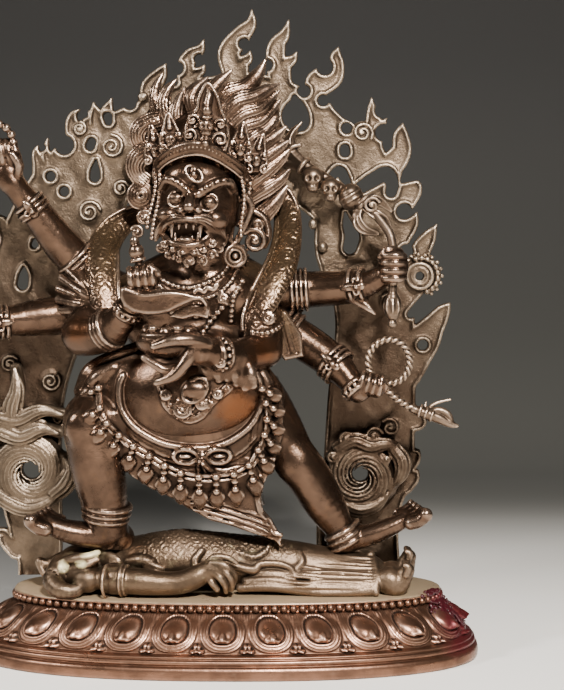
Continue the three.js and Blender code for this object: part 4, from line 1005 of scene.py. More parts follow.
def eyes_and_brows(clay):
    """Two bulging eyes under knotted brows, and the upright third eye."""
    for x, z, y in ((-15.4, 133.8, -18.2), (-4.8, 132.4, -18.4)):
        clay.cut(ball((x, y - 2.6, z), (3.9, 3, 3.0)), blend=0.8)
        clay.add(ball((x, y, z - 0.1), (3.0, 2.5, 2.5)), blend=0.15)
        clay.add(ring((x, y - 1.1, z - 0.1), (0.05, -1, 0.1), 3.1, 0.5, stretch=0.8), blend=0.2)
        clay.cut(ring((x, y - 2.3, z), (0, -1, 0), 1.2, 0.18, steps=14), blend=0.1)
    for rows in ([(-20.4, -16.5, 137.6), (-18.6, -19.4, 139.8), (-15, -20.8, 138.6), (-12.4, -21.6, 136.6),
                  (-10.8, -22, 134.8)],
                 [(2.6, -13.6, 136.6), (2, -16.8, 139), (-1.8, -19.2, 138.8), (-5.4, -20.8, 137),
                  (-8.4, -21.8, 135)]):
        clay.add(bar([(*p, 1.5) for p in rows]), blend=0.8)
        for x, y, z in smooth_path(rows, 2)[:-1]:
            clay.add(ball((x, y - 0.9, z + 0.5), 0.85), blend=0.25)
    clay.add(ring((-9.6, -20.9, 141.8), (0, -1, 0.25), 2.0, 0.5, steps=18, stretch=1.7), blend=0.25)
    clay.add(ball((-9.6, -20.6, 141.8), (1.5, 1.1, 2.6)), ball((-9.6, -21.6, 141.8), (0.7, 0.7, 0.9)),
             blend=0.15)


def nose(clay):
    clay.add(bar([(-10, -20.4, 137, 1.3), (-10.7, -22.6, 133.8, 1.6), (-11, -24.2, 131, 2.0)]), blend=0.8)
    clay.add(ball((-13.3, -22.4, 130), (1.9, 2, 1.6)), ball((-8.5, -22.4, 129.9), (1.9, 2, 1.6)), blend=0.6)
    clay.cut(ball((-12.8, -23.8, 128.9), 0.75), ball((-9.2, -23.8, 128.8), 0.75), blend=0.2)
    clay.add(bar([(-13.6, -21, 134.4, 0.6), (-12.4, -22.2, 135.2, 0.6)]),
             bar([(-8.6, -22, 135, 0.6), (-7.4, -21, 134.4, 0.6)]), blend=0.5)


def mouth(clay):
    """The open mouth with its lips, tongue, fangs and teeth."""
    clay.add(bar([(-20.6, -16.6, 122.4, 1.1), (-18.2, -20, 125.6, 1.2), (-12, -22.4, 127, 1.2),
                  (-6.6, -20.8, 125.6, 1.2), (-4.2, -17, 122, 1.1)]), blend=0.8)
    clay.add(bar([(-19.6, -17.2, 121, 1.2), (-16.4, -20.4, 119, 1.3), (-12, -21.4, 118.2, 1.3),
                  (-7.8, -20.4, 119, 1.3), (-5, -17.2, 121, 1.2)]), blend=0.8)
    opening = [(-19.4, 122.4), (-16.6, 124.8), (-12, 125.8), (-8, 124.6), (-5.4, 121.8), (-8.4, 120),
               (-12.2, 119.4), (-16, 120)]
    clay.cut(slab(opening, -28, -15.5, edge=0.4), blend=0.5)
    clay.add(ball((-12.2, -18.6, 120.2), (3.6, 4, 1.4)), blend=0.4)
    for x, top, tip, r in ((-17, 124.8, 120.6, 0.9), (-14.6, 125.6, 123.4, 0.75), (-12.2, 126, 123.6, 0.75),
                           (-9.8, 125.4, 123.2, 0.75), (-7.6, 124.4, 120.6, 0.9)):
        clay.add(bar([(x, -21, top, r), (x, -21.6, tip, 0.2)], steps=1), blend=0.15)
    for x, r in ((-15.8, 0.85), (-13.8, 0.65), (-12, 0.65), (-10.2, 0.65), (-8.4, 0.85)):
        clay.add(bar([(x, -20.6, 118.8, r), (x, -21.2, 121.4 + (r - 0.65) * 5, 0.25)], steps=1), blend=0.15)


def beard(clay):
    """The moustache, and two rows of curls on the chin."""
    for path in ([(-12.6, -22.6, 127), (-16.4, -21.4, 127), (-19.8, -18.6, 125), (-22, -16.4, 122),
                  (-23, -15, 119.6)],
                 [(-9.4, -22.6, 127), (-6, -21.6, 126.8), (-2.6, -19, 124.6), (-0.6, -16.6, 121.8),
                  (0.6, -14.6, 119.4)]):
        lock(clay, path, 1.5, strands=4, size=0.5, bulge=0.6)
    clay.add(ball((-12.2, -17, 116.6), (6.4, 5, 3.6)), blend=1)
    for i, (x, z) in enumerate([(-21, 117.6), (-18.2, 115.4), (-14.6, 114), (-11, 113), (-7.4, 113.6),
                                (-4.2, 115.2), (-1.4, 117.4)]):
        y = -20.6 + 0.045 * (x + 11.5) ** 2
        spiral(clay, (x, y, z), 2.0, 0.62, turns=1.3, start=1.2 + i, hand=1 if x > -11 else -1)
    for i, (x, z) in enumerate([(-19.6, 119), (-16.6, 117.2), (-13.4, 116), (-9.6, 116), (-6.4, 117),
                                (-3.6, 119.2)]):
        spiral(clay, (x, -21.8 + 0.035 * (x + 11.5) ** 2, z), 1.5, 0.5, turns=1.1, start=2.0 * i,
               hand=1 if x > -11 else -1)


def ear(clay):
    clay.add(bar([(3.6, -8.6, 133, 1.2), (6.6, -8.4, 134.4, 1.2), (8.8, -8, 131.6, 1.2),
                  (7.6, -8, 127.4, 1.1), (5.4, -8.4, 122.6, 1.1), (3.2, -9, 118.6, 1.2),
                  (1.8, -9.4, 120.4, 1), (2.6, -9, 126, 1), (3.4, -8.6, 130.6, 1)]), blend=0.3)
    clay.add(ball((5, -7, 129), (3, 1.6, 5)), blend=0.8)
    clay.add(bar([(5.4, -8.6, 131.6, 0.6), (6.2, -8.6, 129, 0.6), (4.6, -9, 125.4, 0.5)]), blend=0.2)


def earring(clay):
    x, z = 3.4, 114.6
    facing = (0.3, -1, 0)
    clay.add(ring((x, -9.4, z), facing, 3.5, 0.85, steps=18), ring((x, -9.8, z), facing, 2.2, 0.5, steps=14),
             ball((x, -9.6, z), 1.1), blend=0.2)
    for turn in even_angles(14):
        c, s = math.cos(turn), math.sin(turn)
        clay.add(ball((x + 4.3 * c, -9 + 1.2 * c, z + 4.3 * s), 0.55), blend=0.15)


def side_curls(clay):
    """Curls behind the ear."""
    spiral(clay, (9.6, -5.6, 119.6), 4.2, 1.1, turns=1.5, start=2.4, hand=-1)
    spiral(clay, (10.6, -5.4, 125.2), 2.2, 0.8, turns=1.2, start=4, hand=1)
    clay.add(bar([(13, -5, 118, 1.2), (14.4, -4, 122, 1.4), (13, -3.6, 127, 1.4), (9.8, -4, 129.6, 1.1)]),
             blend=0.4)


def crown_band(clay):
    """The crown's beaded band, and strings of beads beside the face."""
    band = [(-23.6, -6, 139.6), (-22.2, -12.6, 143.8), (-18.4, -17.6, 147), (-13.4, -20.2, 149),
            (-8, -21, 149.6), (-2.6, -19.8, 147.9), (2.4, -16.6, 144.8), (6, -12, 141.6), (7.8, -6, 138.6)]
    for up, r, y in ((0, 1.2, 0), (1.9, 1.3, -0.3), (-1.5, 0.5, -0.5)):
        clay.add(bar([(x, yy + y, z + up, r) for x, yy, z in band]), blend=0.4)
    rows = smooth_path(band, 7)
    far = np.concatenate([[0], np.cumsum(np.linalg.norm(np.diff(rows, axis=0), axis=1))])
    for s in np.arange(0.5, far[-1], 1.35):
        x, y, z = (np.interp(s, far, rows[:, i]) for i in range(3))
        clay.add(ball((x, y - 1.1, z + 0.9), 0.55), blend=0.12)
    for (x0, y0, z0), (x1, y1, z1) in (
            ((-21.6, -14.4, 144.6), (-23.6, -12.4, 120)), ((-23.2, -12.4, 143.8), (-25.4, -9.6, 124)),
            ((5.6, -13.6, 141), (6.2, -11, 121)), ((7.2, -11, 140.4), (9, -8.6, 135.4))):
        for t in np.arange(0, 1, 1.5 / (z0 - z1)):
            sway = 0.8 * math.sin(5 * t)
            clay.add(ball((x0 + (x1 - x0) * t + sway, y0 + (y1 - y0) * t, z0 + (z1 - z0) * t), 0.85),
                     blend=0.15)


def middle_leaf(clay):
    """The crown's tall middle leaf with its skull, jewel and scrolls."""
    leaf = [(-11.4, 150.6), (-12.6, 155), (-11, 160), (-8.6, 163), (-7.8, 167), (-5.2, 171.4), (-2.2, 167.6),
            (-0.8, 163), (1, 158.6), (1.6, 153.6), (0.4, 149.6)]
    clay.add(slab(leaf, -19.4, -17.4, edge=0.6), blend=0.6)
    clay.add(bar([(x, -19.4, z, 0.6) for x, z in leaf]), blend=0.25)
    skull(clay, (-5.6, -20.2, 157.6), 1.1)
    clay.add(ball((-5.2, -20.4, 162.4), (1.7, 1.6, 2.1)),
             ring((-5.2, -20.2, 160.6), (0, -0.3, 1), 1.5, 0.5, steps=12),
             bar([(-5.2, -20, 164.6, 1.5), (-4.6, -19.6, 167.6, 1.2), (-5.2, -19, 171, 0.3)]), blend=0.25)
    clay.add(bar([(-8, -20.6, 151.6, 0.8), (-5.8, -21.2, 153.6, 1), (-3.6, -20.6, 151.4, 0.8)]),
             ball((-5.8, -21.4, 151.6), 1.5), blend=0.25)
    for x, z, r, hand in ((-10, 159.4, 2.3, 1), (-11, 154.6, 2.3, 1), (-1, 158, 2.1, -1), (-1, 153, 2.9, -1)):
        spiral(clay, (x, -19.8, z), r, 0.6, turns=1.3, start=-1.2 if hand > 0 else 4.2, hand=hand)


def small_leaves(clay):
    """Four smaller leaves of the crown, each with a skull and scrolls."""
    for x, y, z, size, lean in ((5.4, -14.2, 150.6, 0.95, 0.12), (-17.6, -15.2, 153.4, 0.95, -0.1),
                                (10.4, -6.6, 147, 0.8, 0.3), (-23.4, -7.4, 150, 0.8, -0.2)):
        outline = [(x - 3, z - 4.4), (x - 3.6, z), (x - 2 + 3 * lean, z + 4), (x + 8 * lean, z + 8.6),
                   (x + 2 + 3 * lean, z + 4), (x + 3.6, z), (x + 3, z - 4.4)]
        clay.add(slab(outline, y - 0.2, y + 2, edge=0.5), blend=0.6)
        clay.add(bar([(a, y - 0.2, b, 0.5) for a, b in outline]), blend=0.2)
        skull(clay, (x, y - 0.9, z), size * 0.85)
        clay.add(ball((x + 3 * lean, y - 0.8, z + 3.9), 1.05),
                 bar([(x + 4 * lean, y - 0.6, z + 5.2, 0.95), (x + 8 * lean, y, z + 8.8, 0.3)]), blend=0.2)
        for side in (-1, 1):
            spiral(clay, (x + side * 2.7, y - 0.6, z - 3.4), 1.6, 0.48, turns=1.2, start=1.5, hand=side)
            spiral(clay, (x + side * 2.7, y - 0.6, z + 1.4), 1.3, 0.42, turns=1.1, start=-1.5, hand=-side)


def hair_mass(clay):
    clay.add(bar([(-8, 3, 158, 14), (-3, 3, 163, 11), (1, 4, 168, 6)], flat=(0, 1, 0), thin=0.5), blend=3)
    clay.add(bar([(2, 3, 150, 11), (8, 4, 142, 8), (8, 4, 130, 6)], flat=(0, 1, 0), thin=0.5), blend=3)
    clay.add(bar([(-20, 3, 150, 8), (-24, 4, 140, 6), (-24, 3, 128, 4)], flat=(0, 1, 0), thin=0.6), blend=3)


def hair(clay):
    """The flaming locks, each of strands that meet in a point."""
    for path, width in (
            ([(-10.5, -7, 162), (-11.6, -7, 167), (-10, -6.4, 170.6), (-6, -5, 174.6)], 2.8),
            ([(-6.5, -6, 163), (-6, -6, 167.6), (-2.4, -5, 172.6), (2.2, -4, 177.2)], 3.0),
            ([(-3, -4, 163), (0, -4, 168.4), (6.4, -3, 171), (10.6, -1, 175.6), (13.4, 0, 181)], 3.4),
            ([(-1, -6, 161), (3.8, -5.6, 166), (9.6, -4, 168), (14, -2.4, 170.6), (18, -1, 172.6)], 2.9),
            ([(1, -6, 158), (6, -5.4, 162.4), (11.6, -4, 164.4), (15, -2, 167.4), (18.2, -1, 170.6)], 2.6),
            ([(2, -5, 155), (7, -4.6, 158.6), (12, -3.4, 160.4), (15.6, -2, 164), (18.6, -1, 167.6)], 2.6),
            ([(5, -5, 151), (9.6, -4.6, 154.6), (13.4, -3, 157), (16.4, -2, 160.6), (17.6, -1, 164.6)], 2.4),
            ([(6, -5, 148), (11, -4.6, 151.2), (16, -3, 154.4), (20.6, -2, 158.4)], 2.8),
            ([(7, -4, 144), (12, -4, 147.4), (17, -3, 150.4), (21.4, -2, 153.6)], 2.6),
            ([(8, -4, 139), (13, -3.4, 143), (18, -2.4, 147), (21.6, -2, 150.6)], 2.6),
            ([(8, -3, 134), (13.4, -3, 137.4), (18.4, -2, 140.6), (21.8, -1, 144)], 2.6),
            ([(8, -2, 124), (11.6, -2.4, 127.6), (16.4, -2, 132.4), (20.8, -1, 138.4)], 3.0),
            ([(-14.6, -8, 155), (-16.4, -8.4, 161), (-15.8, -8, 166), (-13.6, -6.4, 171.4)], 2.0),
            ([(-18.4, -5, 158), (-20.8, -5, 164), (-20, -4.6, 169.6), (-16.6, -4, 174.2)], 2.2),
            ([(-21, -3, 158), (-23.6, -3, 165), (-23.8, -2.6, 171), (-21.4, -2, 176.4)], 1.9),
            ([(-17, -4, 163.4), (-21.4, -4.4, 162.4), (-25.4, -5, 158.6)], 2.0)):
        lock(clay, path, width, int(width / 0.45) + 1, root=0.8)


def left_hair(clay):
    """The waved bundles, the round ear jewel and the curls at the left of the face."""
    clay.add(bar([(-23, -0.6, 162, 4), (-26.6, -0.8, 156, 4.4), (-26, -0.8, 150, 4), (-28, -0.8, 145, 4.4),
                  (-27, -0.8, 138, 4)], flat=(0, 1, 0), thin=0.7), blend=1)
    for path in ([(-22.4, -4.6, 160.4), (-27.4, -5, 158.6), (-29.4, -5, 155.4), (-28.4, -4.6, 152),
                  (-25.6, -4.6, 149.4)],
                 [(-23.4, -5.4, 150.4), (-28.4, -5.6, 148.6), (-30.6, -5, 145.2), (-29.8, -4.6, 141.8),
                  (-27, -4.6, 139.4)]):
        lock(clay, path, 3.2, 7, root=0.9, tip=0.8)
    for r in (4.4, 3.3, 2.2, 1.1):
        clay.add(ring((-28.8, -4.4 - 0.25 * (4.4 - r), 135), (0, -1, 0), r, 0.62, steps=20), blend=0.2)
    clay.add(ball((-28.8, -2.6, 135), (4.4, 1.6, 4.4)), blend=0.5)
    spiral(clay, (-27.6, -5, 127.4), 2.6, 0.75, turns=1.5, start=0.6)
    spiral(clay, (-30, -5.6, 122.6), 2.2, 0.7, turns=1.4, start=2.6, hand=-1)


def head():
    clay = Clay((-38, -31, 108), (27, 13.2, 183), 0.32)
    for part in (head_mass, eyes_and_brows, nose, mouth, beard, ear, earring, side_curls, crown_band,
                 middle_leaf, small_leaves, hair_mass, hair, left_hair):
        part(clay)
    cast_figure("head", clay, 180000)


# The flame aureole

AUREOLE_CELL = 0.38
PLATE_FRONT = 13.4
PLATE_BACK = 16.5
# The horseshoe's middle line: X, Z, half the width.
HORSESHOE = [(-67.6, -4, 8), (-67.8, 6, 8), (-69, 16, 9.5), (-70.6, 30, 11), (-71.4, 46, 11.8),
             (-71.6, 60, 12.6), (-70.4, 74, 14.2), (-68, 90, 17), (-65, 106, 19), (-60, 120, 19.4),
             (-54, 133, 17.6), (-46, 145, 15), (-35, 152, 13.4), (-22, 156.6, 14), (-8, 160, 16),
             (8, 160, 17.6), (20, 155, 18.5), (30, 148, 17.5), (40, 141, 17.5), (46, 130, 16),
             (46.5, 117, 16.2), (50, 104, 14.4), (51.5, 92, 14), (51.4, 80, 14.4), (50.6, 66, 15.4),
             (50, 52, 15.8), (49.4, 40, 16), (46.6, 28, 15), (45.6, 15, 14.6), (46.4, -4, 15.2)]
# Each flame or hook: rows of X, Z, half the width, from its root to its tip.
FLAMES = [[(3, 170, 5), (2.3, 176.9, 3.5), (0.3, 184.5, 3.1), (4.5, 190.7, 2.4), (8, 194.8, 1.4),
           (8.3, 199.6, 0.2)],
          [(3.4, 177, 3), (5, 181, 1.7), (7, 182.7, 1.2), (7.8, 185.4, 0.2)],
          [(20, 165, 5), (18.6, 173, 3.3), (16.7, 181.7, 2.7), (17, 186.9, 2.3), (19.8, 191.3, 1.3),
           (21.2, 196.1, 0.2)],
          [(18, 176, 3), (19.8, 180.4, 1.8), (22.6, 182.4, 1.1), (24, 185, 0.2)],
          [(-14, 166, 5), (-13.6, 173, 3.2), (-14.8, 179.7, 2.3), (-13, 183.5, 1.9), (-9.8, 185.9, 1.2),
           (-8.4, 189.3, 0.2)], [(-14, 172, 3), (-12.2, 176.5, 1.8), (-9.5, 178.4, 1.1), (-8.1, 180.6, 0.2)],
          [(-27, 162, 5), (-26.9, 167.6, 3.4), (-26.8, 172.8, 2.8), (-23.9, 176.9, 1.8), (-21.7, 181, 0.2)],
          [(-44, 156, 4), (-43.2, 160.3, 3), (-42.4, 164.5, 1.6), (-40.7, 169.2, 0.2)],
          [(-45, 158, 3), (-46.2, 162.8, 1.8), (-47.2, 167.8, 0.2)],
          [(-54, 158, 2.4), (-54.8, 161, 1.5), (-54, 163.8, 0.8), (-52, 165.2, 0.2)],
          [(-50.5, 157, 2.4), (-49.6, 160.3, 1.4), (-48.6, 162, 0.7), (-48.8, 164.6, 0.2)],
          [(-64, 141, 4), (-66, 145.7, 2), (-67.4, 149.9, 1.1), (-66.8, 152.7, 0.2)],
          [(-60, 143, 4), (-62.5, 146.7, 2), (-64.1, 150.6, 1.1), (-63.3, 155.3, 0.2)],
          [(34.1, 153, 6), (33.6, 160, 4.3), (31.7, 165.1, 3), (30.4, 169.6, 1.8), (31.8, 174.2, 4.0),
           (36.4, 176.4, 2.9), (37.9, 180.6, 1.8), (37.6, 183.4, 1.4), (38.4, 186.6, 0.2)],
          [(32.6, 160, 3.2), (34.4, 163.9, 1.6), (35.7, 167, 0.2)],
          [(49, 148, 5), (50, 154, 2.9), (50.7, 160.2, 2.1), (50.2, 165.1, 1.2), (50, 169.2, 0.2)],
          [(50, 155, 3), (52.8, 158.9, 1.5), (55.4, 162, 0.2)],
          [(52, 138, 6), (56.5, 144.9, 4), (60.5, 150.5, 2.7), (60.3, 155.7, 1.9), (61, 160.4, 0.2)],
          [(57, 132, 6), (62.4, 135.2, 3.6), (65, 137.5, 2), (66.6, 140.2, 0.2)],
          [(58, 121, 5), (63, 124.4, 2.3), (64.9, 126.4, 1.3), (66.1, 129.3, 0.2)],
          [(62, 105, 5), (66.3, 110.7, 3.2), (67.7, 116.3, 2.6), (70, 120.1, 1.9), (73.1, 125.2, 0.2)],
          [(60, 106, 6), (64.6, 102.2, 4.4), (63.9, 98.7, 2.5), (63.4, 96, 1)],
          [(58, 78, 8), (66.6, 82.5, 6), (71.6, 88.9, 3.5), (75.4, 94.5, 1.8), (77.9, 98.9, 0.2)],
          [(62, 72, 5), (67.6, 76.6, 2.3), (70.4, 80, 1.2), (72.5, 83.8, 0.2)],
          [(61, 58, 5), (66, 56, 3), (68.9, 54.2, 0.4)], [(60, 40, 5), (64.5, 42.6, 2.6), (67.4, 45.2, 0.3)],
          [(60, 34, 5), (64.5, 35.6, 2.2), (67, 38, 0.3)],]
# Flames along the left edge, all of one shape: X and Z of the root, heading in degrees from upright, length.
LEFT_FLAMES = [(-78.5, 122, -39, 10.5), (-83, 109, -46, 10.5), (-85, 96, -50, 10.5), (-84, 82, -54, 10.5),
               (-82.5, 68, -53, 10), (-82, 54, -56, 9.5), (-79, 12, -53, 8)]
# Their shape, a tongue and a side hook: way along (in flame lengths if above 0), way aside, half the width.
LEFT_FLAME_SHAPE = [[(-4, 0, 4), (0, 0, 3), (0.4, 1.2, 2.3), (0.75, -0.6, 1.3), (1, 0.4, 0.2)],
                    [(-3, 3, 3), (0.12, 4, 1.4), (0.34, 3.6, 0.2)]]
# Each round bite: X, Z, radius.
BITES = [(5.6, 187.8, 1.9), (22, 187, 1.9), (13.5, 180.4, 2.0), (26.4, 171.4, 2.2), (-10.1, 182.6, 1.7),
         (-17.9, 179.4, 2.3), (-34.4, 167.4, 2.3), (-44.9, 167.8, 1.6), (-57.5, 152.8, 3.3),
         (-65.3, 152, 1.2), (33.7, 179.8, 2.8), (33.2, 168.2, 1.9), (53.6, 164.7, 2.4), (54.4, 157, 3),
         (63.4, 142.6, 2.5), (61.6, 129.6, 2.7), (62.4, 115.6, 2.4), (68.4, 82.7, 1.8), (41.4, 158.6, 1.9)]
# Each hole: rows of X, Z, half the width.
HOLES = [[(23.2, 169.4, 0.8), (23.6, 166.4, 2.6), (23.4, 163, 4.6), (24.6, 161.2, 3.8)],
         [(46.8, 138.2, 2.1), (51, 140.8, 2.4), (55.2, 142.6, 2.6), (57.4, 139.4, 2.2), (57, 136.4, 1.9)],
         [(35, 140.6, 1), (38.6, 143.6, 1.8), (40.8, 141.2, 1.6), (42.4, 138, 0.8)],
         [(-42.2, 162.6, 1.6), (-41.9, 161, 1.3)], [(-48.4, 152.4, 1.6), (-47.9, 153.8, 1.5)],
         [(-46.9, 141.6, 1.8), (-46.8, 143.8, 1.6), (-46.4, 147.4, 0.3)], [(-62.4, 141.9, 1.7)] * 2,
         [(-57.7, 136.6, 1.7)] * 2, [(-72.8, 104, 2), (-72.4, 107, 1.7), (-72.2, 110, 0.3)],
         [(-68.3, 118, 1.3), (-68.1, 119, 1.1)], [(40.8, 150.3, 1.7), (40.7, 151.4, 1.6)],
         [(42.6, 117, 2.3), (43.4, 121, 2.5), (41.8, 125, 1.6), (41, 129, 0.4)],
         [(57, 53.4, 1.3), (57.6, 54, 1.2)], [(51.3, 50, 1.6), (52.3, 50.3, 1.4)],
         [(-80, 89, 1.6), (-79.8, 92.4, 0.4)]]
# Each scroll that lies on the plate: X, Z, radius, start in radians, hand.
SCROLLS = [(-40.8, 152.4, 4.2, 1.6, -1), (-37.6, 137.8, 2.8, 0.4, 1), (-48.8, 129.6, 4, 0.2, 1),
           (47, 157.1, 3.6, -0.6, 1), (-63.1, 69.9, 3.5, 0.6, -1), (-60.4, 56.7, 3.1, 3.4, 1),
           (-77.4, 76, 3.2, 0.6, 1), (56.5, 98, 3.2, 2.5, -1), (-52, 158.6, 2.4, 1.4, -1),
           (-29.8, 169.4, 1.3, 0.5, 1)]


def swirl(clay, x, y, z, hole, outer, arms, tail, hand):
    """A vortex: strands wind out from a hole, one turn each, the first from the angle `tail` in radians."""
    bed = [(x + 0.75 * outer * math.cos(a), y + 2.2, z + 0.75 * outer * math.sin(a), 0.36 * outer)
           for a in np.linspace(0, 2 * math.pi, 13)]
    clay.add(bar(bed, flat=(0, 1, 0), thin=0.8, steps=1), blend=0.8)
    for k in range(arms):
        share = k / arms
        rows = []
        for t in np.linspace(0, 1, 24):
            turn = tail + hand * 2 * math.pi * (share + 0.95 * t)
            r = hole + (outer - hole) * (0.04 + 0.96 * t)
            lift = 2.2 * math.sin(math.pi * (0.15 + 0.75 * t))
            rows.append((x + r * math.cos(turn), y - lift + 0.8, z + r * math.sin(turn),
                         0.3 + 0.055 * outer * t ** 0.7))
        clay.add(bar(rows, steps=1), blend=0.15)
    clay.cut(bar([(x, y - 8, z, hole), (x, y + 12, z, hole)], steps=1), blend=0.6)


def flame_layer():
    """The flame ring's outline with its bites and holes, as one flat layer of clay."""
    layer = Clay((-101, 0, -4), (90, 0, 204), AUREOLE_CELL)
    layer.add(bar([(x, 0, z, half) for x, z, half in HORSESHOE], steps=5), blend=1.2)
    for rows in FLAMES:
        layer.add(bar([(x, 0, z, half + 0.5 * min(half - 0.2, 1.8)) for x, z, half in rows], steps=5),
                  blend=0.8)
    for x, z, heading, length in LEFT_FLAMES:
        c, s = math.cos(math.radians(heading)), math.sin(math.radians(heading))
        for path in LEFT_FLAME_SHAPE:
            rows = []
            for along, aside, half in path:
                along = along * length if along > 0 else along
                rows.append((x + along * s + aside * c, 0, z + along * c - aside * s, half))
            layer.add(bar(rows), blend=0.6)
    layer.cut([ball((x, 0, z), r) for x, z, r in BITES], blend=0.3)
    layer.cut(bar([(64.3, 0, 93.6, 1.4), (68.7, 0, 97.7, 2.2), (75.5, 0, 101.6, 4.4)]), blend=0.5)
    for rows in HOLES:
        layer.cut(bar([(x, 0, z, half) for x, z, half in rows]), blend=0.3)
    for x, z, outer, hole in ((-70.3, 38.2, 12.5, 3.1), (46.5, 37, 10.5, 2.6)):
        layer.add(ball((x, 0, z), outer * 0.92), blend=1)
        layer.cut(ball((x, 0, z), hole), blend=0.3)
    layer.add(ball((67.4, 0, 107.5), 5.6), blend=0.6)
    return layer


def flame_plate(clay):
    """Makes the flat layer into a plate whose front swells from a furrow beside its edge."""
    layer = flame_layer()
    x, y, z = clay.axes()
    shift = int(round((clay.low[2] - layer.low[2]) / clay.cell))
    flat = layer.field[:clay.shape[0], 0, shift:shift + clay.shape[2]]
    inset = np.maximum(-flat, 0)
    face = PLATE_FRONT + 0.45 * np.minimum(inset / 2.2, 1) - 0.6 * np.exp(-((inset - 0.8) / 0.5) ** 2)
    face = face + 0.12 * np.sin(0.9 * x[:, 0] + 2 * np.sin(0.31 * z[:, 0])) * np.minimum(inset / 3, 1)
    edge = 0.4
    d, depth = (flat + edge)[:, None, :], np.maximum(face[:, None, :] - y, y - PLATE_BACK) + edge
    outside = np.sqrt(np.maximum(d, 0) ** 2 + np.maximum(depth, 0) ** 2)
    clay.field = (np.minimum(np.maximum(d, depth), 0) + outside - edge).astype(np.float32)


def plate_scrolls(clay):
    for sx, sz, radius, start, hand in SCROLLS:
        clay.add(ball((sx, PLATE_FRONT + 0.6, sz), (radius + 0.6, 1.1, radius + 0.6)), blend=0.5)
        spiral(clay, (sx, PLATE_FRONT - 0.4, sz), radius, 0.5, turns=1.7, start=start, hand=hand, blend=0.3)
    for bx, bz in ((29.6, 125.3), (33, 117.2)):
        clay.add(ball((bx, PLATE_FRONT - 0.4, bz), (1.6, 1.6, 1.9)), blend=0.3)


def cloud_swirls(clay):
    """The two vortices, with the bands of cloud and the scrolls about them."""
    swirl(clay, -70.3, 9, 38.2, 3.1, 12.6, 8, 0.75, 1)
    swirl(clay, 46.5, 8.6, 37, 2.6, 11, 6, 2.4, -1)
    for path, width, strands, size in (
            ([(-88, 9, 50), (-81, 8, 53.5), (-73, 7.4, 51), (-66, 7, 53.5), (-60, 8, 52)], 3.2, 5, 0.8),
            ([(-90, 9, 57), (-82, 8, 58), (-74, 7.4, 56.6), (-66, 7, 60), (-58.4, 8, 58.6)], 3.0, 5, 0.8),
            ([(-76, 8, 54), (-75.6, 7.6, 61), (-74, 7.6, 67), (-74.8, 8.4, 74.6)], 3.0, 5, 0.85),
            ([(-86, 9, 44), (-90, 8.6, 52), (-87, 9, 61), (-90, 9.6, 68)], 3.2, 5, 0.9),
            ([(-62, 8, 30), (-57.5, 7.6, 34), (-55.6, 8, 39), (-58, 8.6, 43)], 3.0, 5, 0.8),
            ([(-84, 9, 32), (-77, 8, 27.5), (-70, 7.4, 25.4), (-63, 7.6, 28), (-57.6, 8, 33)], 2.6, 5, 0.8),
            ([(38, 9, 46), (44, 8, 49.4), (50, 7.6, 47.6), (56, 7.6, 48.4), (61.6, 8.4, 44)], 2.8, 5, 0.75),
            ([(58, 8.6, 47), (61, 8, 42.6), (60.6, 8, 37.6), (57.4, 8.6, 33)], 2.6, 5, 0.75),
            ([(40, 9, 27.6), (46, 8, 25.4), (52, 8, 27), (57, 8.6, 31.6)], 2.4, 5, 0.75)):
        lock(clay, path, width, strands, size=size, bulge=1.3, root=0.8, blend=0.25)
        clay.add(bar([(px, 11.4, pz, 2.2) for px, _, pz in path], flat=(0, 1, 0), thin=1.2), blend=0.8)
    for px, pz, radius, start, hand in ((-66, 54.6, 2.2, 0.2, 1), (-83, 60.6, 2.6, 1, -1),
                                        (51.1, 51.2, 3.2, 0.4, 1), (56.7, 54.4, 3.2, 2.4, -1),
                                        (41.4, 50, 2.6, 1.2, 1), (55.4, 43, 1.9, 2, 1),
                                        (36.6, 44, 2.2, 0, -1)):
        clay.add(ball((px, 11, pz), (radius, 3.4, radius)), blend=0.6)
        spiral(clay, (px, 8, pz), radius, 0.62, turns=1.5, start=start, hand=hand, blend=0.3)


def jewel_wheel(clay):
    """The round jewel on the ring's right side, with beads about it."""
    clay.add(ball((67.4, 13.6, 107.5), (5.4, 3, 5.4)), blend=0.8)
    for radius, thick in ((4.4, 0.7), (2.9, 0.55)):
        clay.add(ring((67, 11.2, 107.2), (-0.1, -1, 0), radius, thick), blend=0.3)
    for k in range(10):
        turn = -1.2 + 0.34 * k
        clay.add(ball((67.4 + 6 * math.cos(turn), 12.2, 107.4 + 6 * math.sin(turn)), 1.15), blend=0.3)
        clay.add(ball((67.4 + 7.4 * math.cos(turn + 0.17), 13, 107.4 + 7.4 * math.sin(turn + 0.17)), 0.8),
                 blend=0.3)
    clay.cut(bar([(67, 5, 107.2, 1.5), (67, 22, 107.2, 1.5)], steps=1), blend=0.3)


def aureole():
    clay = Clay((-101, 1.6, -0.8), (90, 17.6, 204), AUREOLE_CELL)
    for part in (flame_plate, plate_scrolls, cloud_swirls, jewel_wheel):
        part(clay)
    clay.field = np.maximum(clay.field, 0.3 - clay.axes()[2])
    # Painted shadow: the tint darkens the ring's lower right and the plate behind the left cloud swirl, where
    # the figure shades them.
    cast("aureole", clay, flame_bronze, replaced=["flame_aureole"], most=160000,
         tints=[patch(((50, 13, 62), (24, 14, 50)), ((-74, 15.4, 70), (24, 3.4, 44)))])


# The lotus plinth, in millimetres from the ground up

PLINTH_SIZE = (174.0, 80.0)
OVAL_POWER = 2.35
PETALS = 24
PETAL_STEPS = 40
PETAL_HALF = 7.8
STAMEN_PITCH = 0.975
LOTUS_LOW, LOTUS_HIGH = 8.0, 19.4
LOTUS_ROWS = 36
